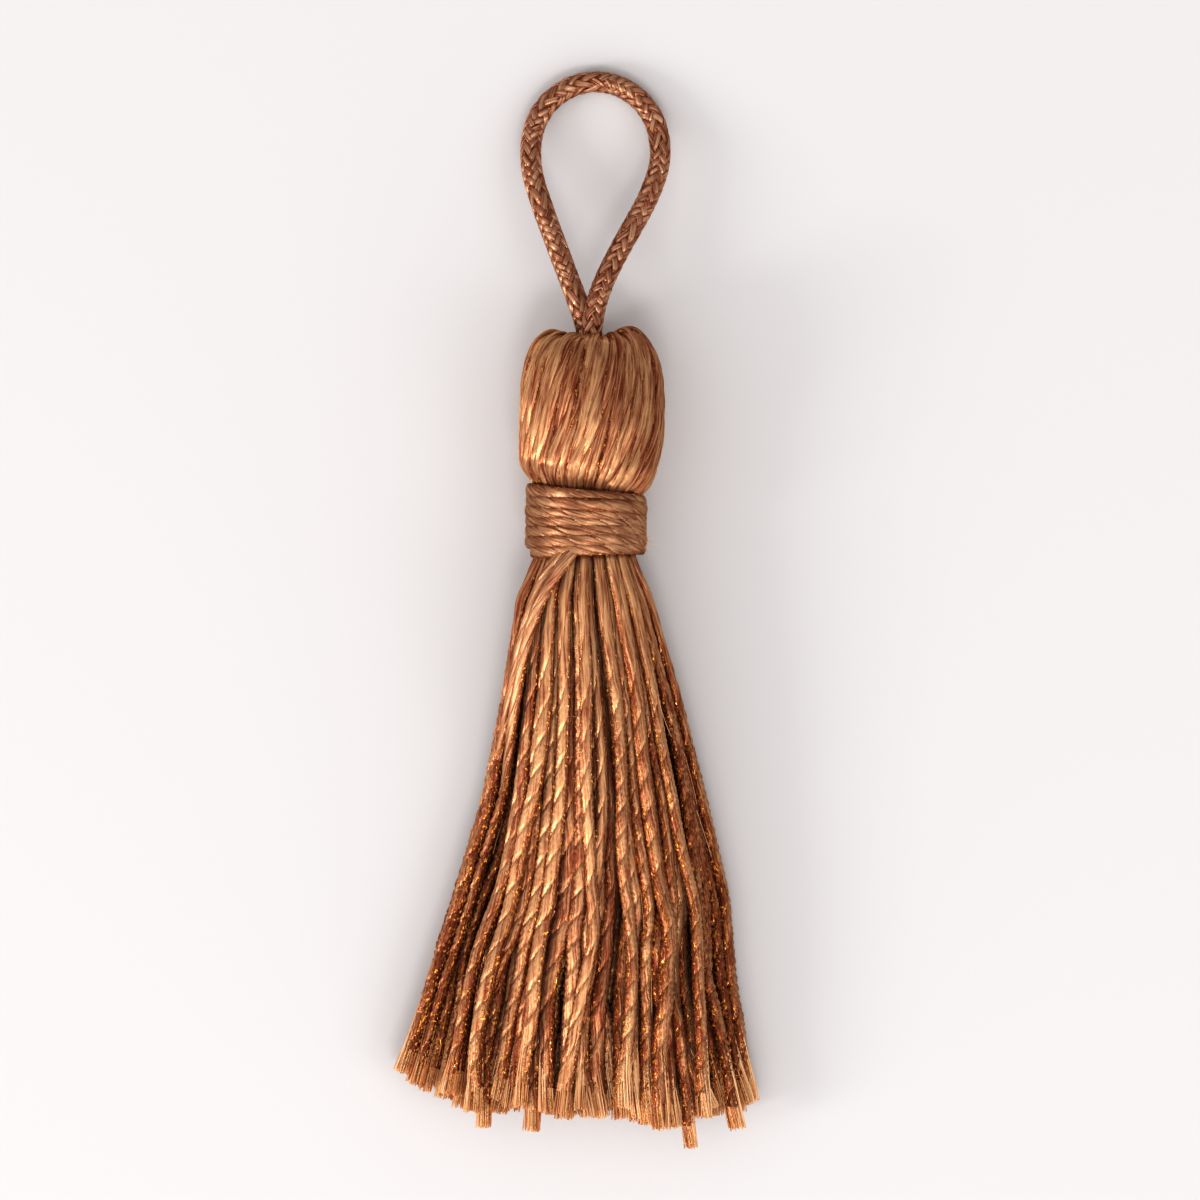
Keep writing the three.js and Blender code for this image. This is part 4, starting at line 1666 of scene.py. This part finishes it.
@dataclass
class StrayFilaments:
    """Single filaments that have worked loose from the skirt, the head and the binding."""

    from_skirt: int = 70
    from_head: int = 6
    from_binding: int = 14
    width: float = 0.035
    snag: tuple[float, float, float] = (5.9, 18.3, 7.2)

    def arc(
        self, start: np.ndarray, heading: np.ndarray, lift: np.ndarray, rng: np.random.Generator
    ) -> np.ndarray:
        """Bends one filament away from the yarns and back.

        Args:
            start: Where it leaves the yarns.
            heading: The way that the yarns run there.
            lift: The way out from them.
            rng: The random numbers.

        Returns:
            The filament's points.
        """
        length = rng.uniform(1.5, 5.0)
        share = np.linspace(0, 1, 8)[:, None]
        side = np.cross(heading, lift)
        out = lift * rng.uniform(0.02, 0.12) + side * rng.uniform(-0.12, 0.12)
        curl = side * rng.uniform(-0.25, 0.25)
        points = start + length * (heading * share + out * share + curl * share * share)
        points[:, 2] = np.maximum(points[:, 2], self.width)
        return points

    def guides(self, skirt: Skirt, head: Head) -> Guides:
        """Lays out every stray filament.

        Args:
            skirt: The skirt that some of them come from.
            head: The head that some of them come from.

        Returns:
            The filaments' lines.
        """
        rng = np.random.default_rng(SEED + 8)
        guides = Guides()
        yarns = [yarn for yarn in skirt.lines() if yarn["group"] != "inside"]
        for _ in range(self.from_skirt):
            yarn = yarns[rng.integers(len(yarns))]
            place = rng.integers(3, len(yarn["points"]) - 2)
            points, lift = yarn["points"], yarn["outward"][place]
            heading = unit(points[place + 1] - points[place])
            start = points[place] + lift * 0.5 * yarn["breadth"][place]
            self.lay(guides, self.arc(start, heading, lift, rng), lift, rng)
        for _ in range(self.from_head):
            angle, place = rng.uniform(-1.9, 1.9), rng.uniform(24.5, 35.5)
            radius = float(along(list(head.outline), np.array(place), 1))
            start = head.surface(np.array([place]), np.array([radius]), np.array([angle]))[0]
            lift = np.array([math.sin(angle), 0.0, math.cos(angle)])
            heading = np.array([0.1, rng.choice([-1.0, 1.0]), 0.0])
            self.lay(guides, self.arc(start, heading, lift, rng), lift, rng)
        for _ in range(self.from_binding):
            lift = unit(np.array([rng.uniform(0.3, 1.0), rng.uniform(-0.6, 0.4), rng.uniform(-0.3, 0.9)]))
            share = np.linspace(0, rng.uniform(0.7, 1.7), 8)[:, None]
            bend = np.cross(lift, unit(rng.uniform(-1, 1, 3))) * share * share * 0.5
            self.lay(guides, np.array(self.snag) + lift * share + bend, lift, rng)
        return guides

    def lay(self, guides: Guides, points: np.ndarray, lift: np.ndarray, rng: np.random.Generator) -> None:
        """Adds one filament.

        Args:
            guides: Where its line goes.
            points: Its points.
            lift: The way out from the yarns.
            rng: The random numbers.
        """
        guides.add(
            points,
            np.tile(lift, (len(points), 1)),
            breadth=self.width * rng.uniform(0.7, 1.4) * MM,
            # Painted light: a high rise gives the stray filaments a lighter colour.
            rise=0.4,
            tone=rng.uniform(),
        )

    def build(
        self, tree: LooseFilaments, skirt: Skirt, head: Head, finish: bpy.types.Material
    ) -> bpy.types.Object:
        """Makes the stray filaments.

        Args:
            tree: The tree that makes them.
            skirt: The skirt that some of them come from.
            head: The head that some of them come from.
            finish: Their material.

        Returns:
            The piece.
        """
        values = {"Step": 0.7 * MM, "Sides": 4, "Material": finish}
        piece = tree.applied(self.guides(skirt, head).mesh("stray_lines"), "stray_filaments", values)
        return finished(piece, "yarn", "yarn_bundle")


@dataclass
class Studio:
    """The pale floor, the lights and the camera."""

    view_width: float = 111.4
    middle: tuple[float, float, float] = (2.04, 12.76, 6.0)
    camera_height: float = 620.0
    sensor: float = 36.0
    bright_side: tuple[float, float, float] = (-0.35, -0.85, 0.25)
    dim: tuple[float, float, float, float] = (0.4, 0.375, 0.37, 1.0)
    bright: tuple[float, float, float, float] = (1.12, 1.11, 1.11, 1.0)
    floor_color: tuple[float, float, float, float] = (0.65, 0.641, 0.642, 1.0)
    exposure: float = 0.4
    contrast: float = 0.77
    floor_reach: float = 1.6
    light_distance: float = 0.7

    def camera(self) -> None:
        """Looks straight down with the photograph's framing."""
        data = bpy.data.cameras.new("camera")
        data.sensor_width = self.sensor
        data.lens = self.sensor * (self.camera_height - self.middle[2]) / self.view_width
        data.clip_start = 0.01
        made = bpy.data.objects.new("camera", data)
        made.location = (self.middle[0] * MM, self.middle[1] * MM, self.camera_height * MM)
        bpy.context.scene.collection.objects.link(made)
        bpy.context.scene.camera = made

    def floor(self) -> None:
        """Lays the plain pale floor."""
        size = self.floor_reach
        corners = [(-size, -size, 0), (size, -size, 0), (size, size, 0), (-size, size, 0)]
        mesh = bpy.data.meshes.new("floor")
        mesh.from_pydata(corners, [], [(0, 1, 2, 3)])
        made = bpy.data.materials.new("pale_board")
        made.use_nodes = True
        shader = next(n for n in made.node_tree.nodes if n.type == "BSDF_PRINCIPLED")
        shader.inputs["Base Color"].default_value = self.floor_color
        shader.inputs["Roughness"].default_value = 0.9
        shader.inputs["Specular IOR Level"].default_value = 0.1
        mesh.materials.append(made)
        piece = bpy.data.objects.new("floor", mesh)
        bpy.context.scene.collection.objects.link(piece)

    def light(
        self, name: str, towards: tuple[float, float, float], size: tuple[float, float], power: float
    ) -> None:
        """Hangs a soft light that faces the tassel, long in the direction across the yarns.

        Args:
            name: The light's name.
            towards: The direction from the tassel to the light.
            size: The lengths of its sides, in metres.
            power: Its power, in watts.
        """
        data = bpy.data.lights.new(name, "AREA")
        data.shape = "RECTANGLE"
        data.size, data.size_y = size
        data.energy = power
        made = bpy.data.objects.new(name, data)
        direction = Vector(towards).normalized()
        made.location = Vector((0.0, 0.01, 0.0)) + direction * self.light_distance
        made.rotation_euler = direction.to_track_quat("Z", "Y").to_euler()
        bpy.context.scene.collection.objects.link(made)

    def lights(self) -> None:
        """Lights the tassel from the left, from beside the camera, and weakly from the right."""
        self.light("key_light", (-0.83, -0.31, 0.445), (0.12, 0.22), 1.35)
        self.light("second_light", (0.06, -0.45, 0.89), (0.22, 0.12), 0.75)
        self.light("fill_light", (0.64, -0.3, 0.7), (0.2, 0.3), 0.4)
        world = bpy.data.worlds.new("studio")
        world.use_nodes = True
        bench = NodeBench(world.node_tree)
        background = next(n for n in world.node_tree.nodes if n.type == "BACKGROUND")
        towards = bench.node("ShaderNodeTexCoord").outputs["Generated"]
        ahead = bench.dot(towards, tuple(Vector(self.bright_side).normalized()))
        shade = bench.number("MULTIPLY", bench.number("ADD", ahead, 0.35), 1.0 / 0.9)
        shade = bench.clamped(shade)
        bench.feed(background.inputs["Color"], bench.mixed(self.dim, self.bright, shade))
        background.inputs["Strength"].default_value = 1.0
        bpy.context.scene.world = world
        film = bpy.context.scene.view_settings
        film.view_transform = "Standard"
        film.exposure = self.exposure
        film.gamma = self.contrast


def main() -> None:
    """Builds every sub-assembly in order."""
    logging.basicConfig(level=logging.INFO, format="%(name)s: %(message)s")
    studio = Studio()
    studio.camera()
    cord_finish = Satin("braided_rayon", (0.085, 0.007, 0.003), (0.23, 0.06, 0.03), (0.62, 0.37, 0.23))
    yarn_finish = Satin("twisted_rayon", (0.08, 0.006, 0.0022), (0.26, 0.062, 0.025), (0.66, 0.38, 0.195))
    wound_finish = Satin(
        "wound_rayon", (0.08, 0.006, 0.0025), (0.22, 0.062, 0.028), (0.58, 0.33, 0.18), sheen=0.08
    )
    # Painted light: the cut ends and stray filaments get a lighter copy of the rayon's colour, standing in
    # for the light that they catch.
    lit_cut_finish = Satin(
        "lit_cut_rayon",
        (0.5, 0.14, 0.05),
        (0.85, 0.42, 0.19),
        (0.99, 0.72, 0.42),
        metallic=0.05,
        roughness=0.45,
    )
    HangingLoop().build(RoundBraid(), cord_finish.material())
    yarn = PliedYarn()
    dressed = yarn_finish.material()
    head = Head()
    head.core(ShadedCore().material())
    head.build(yarn, dressed)
    NeckBinding().build(yarn, wound_finish.material())
    skirt = Skirt()
    skirt.build(yarn, dressed)
    filaments = LooseFilaments()
    cut = lit_cut_finish.material()
    CutEnds().build(filaments, skirt, cut)
    StrayFilaments().build(filaments, skirt, head, cut)
    studio.floor()
    studio.lights()


if __name__ == "__main__":
    main()
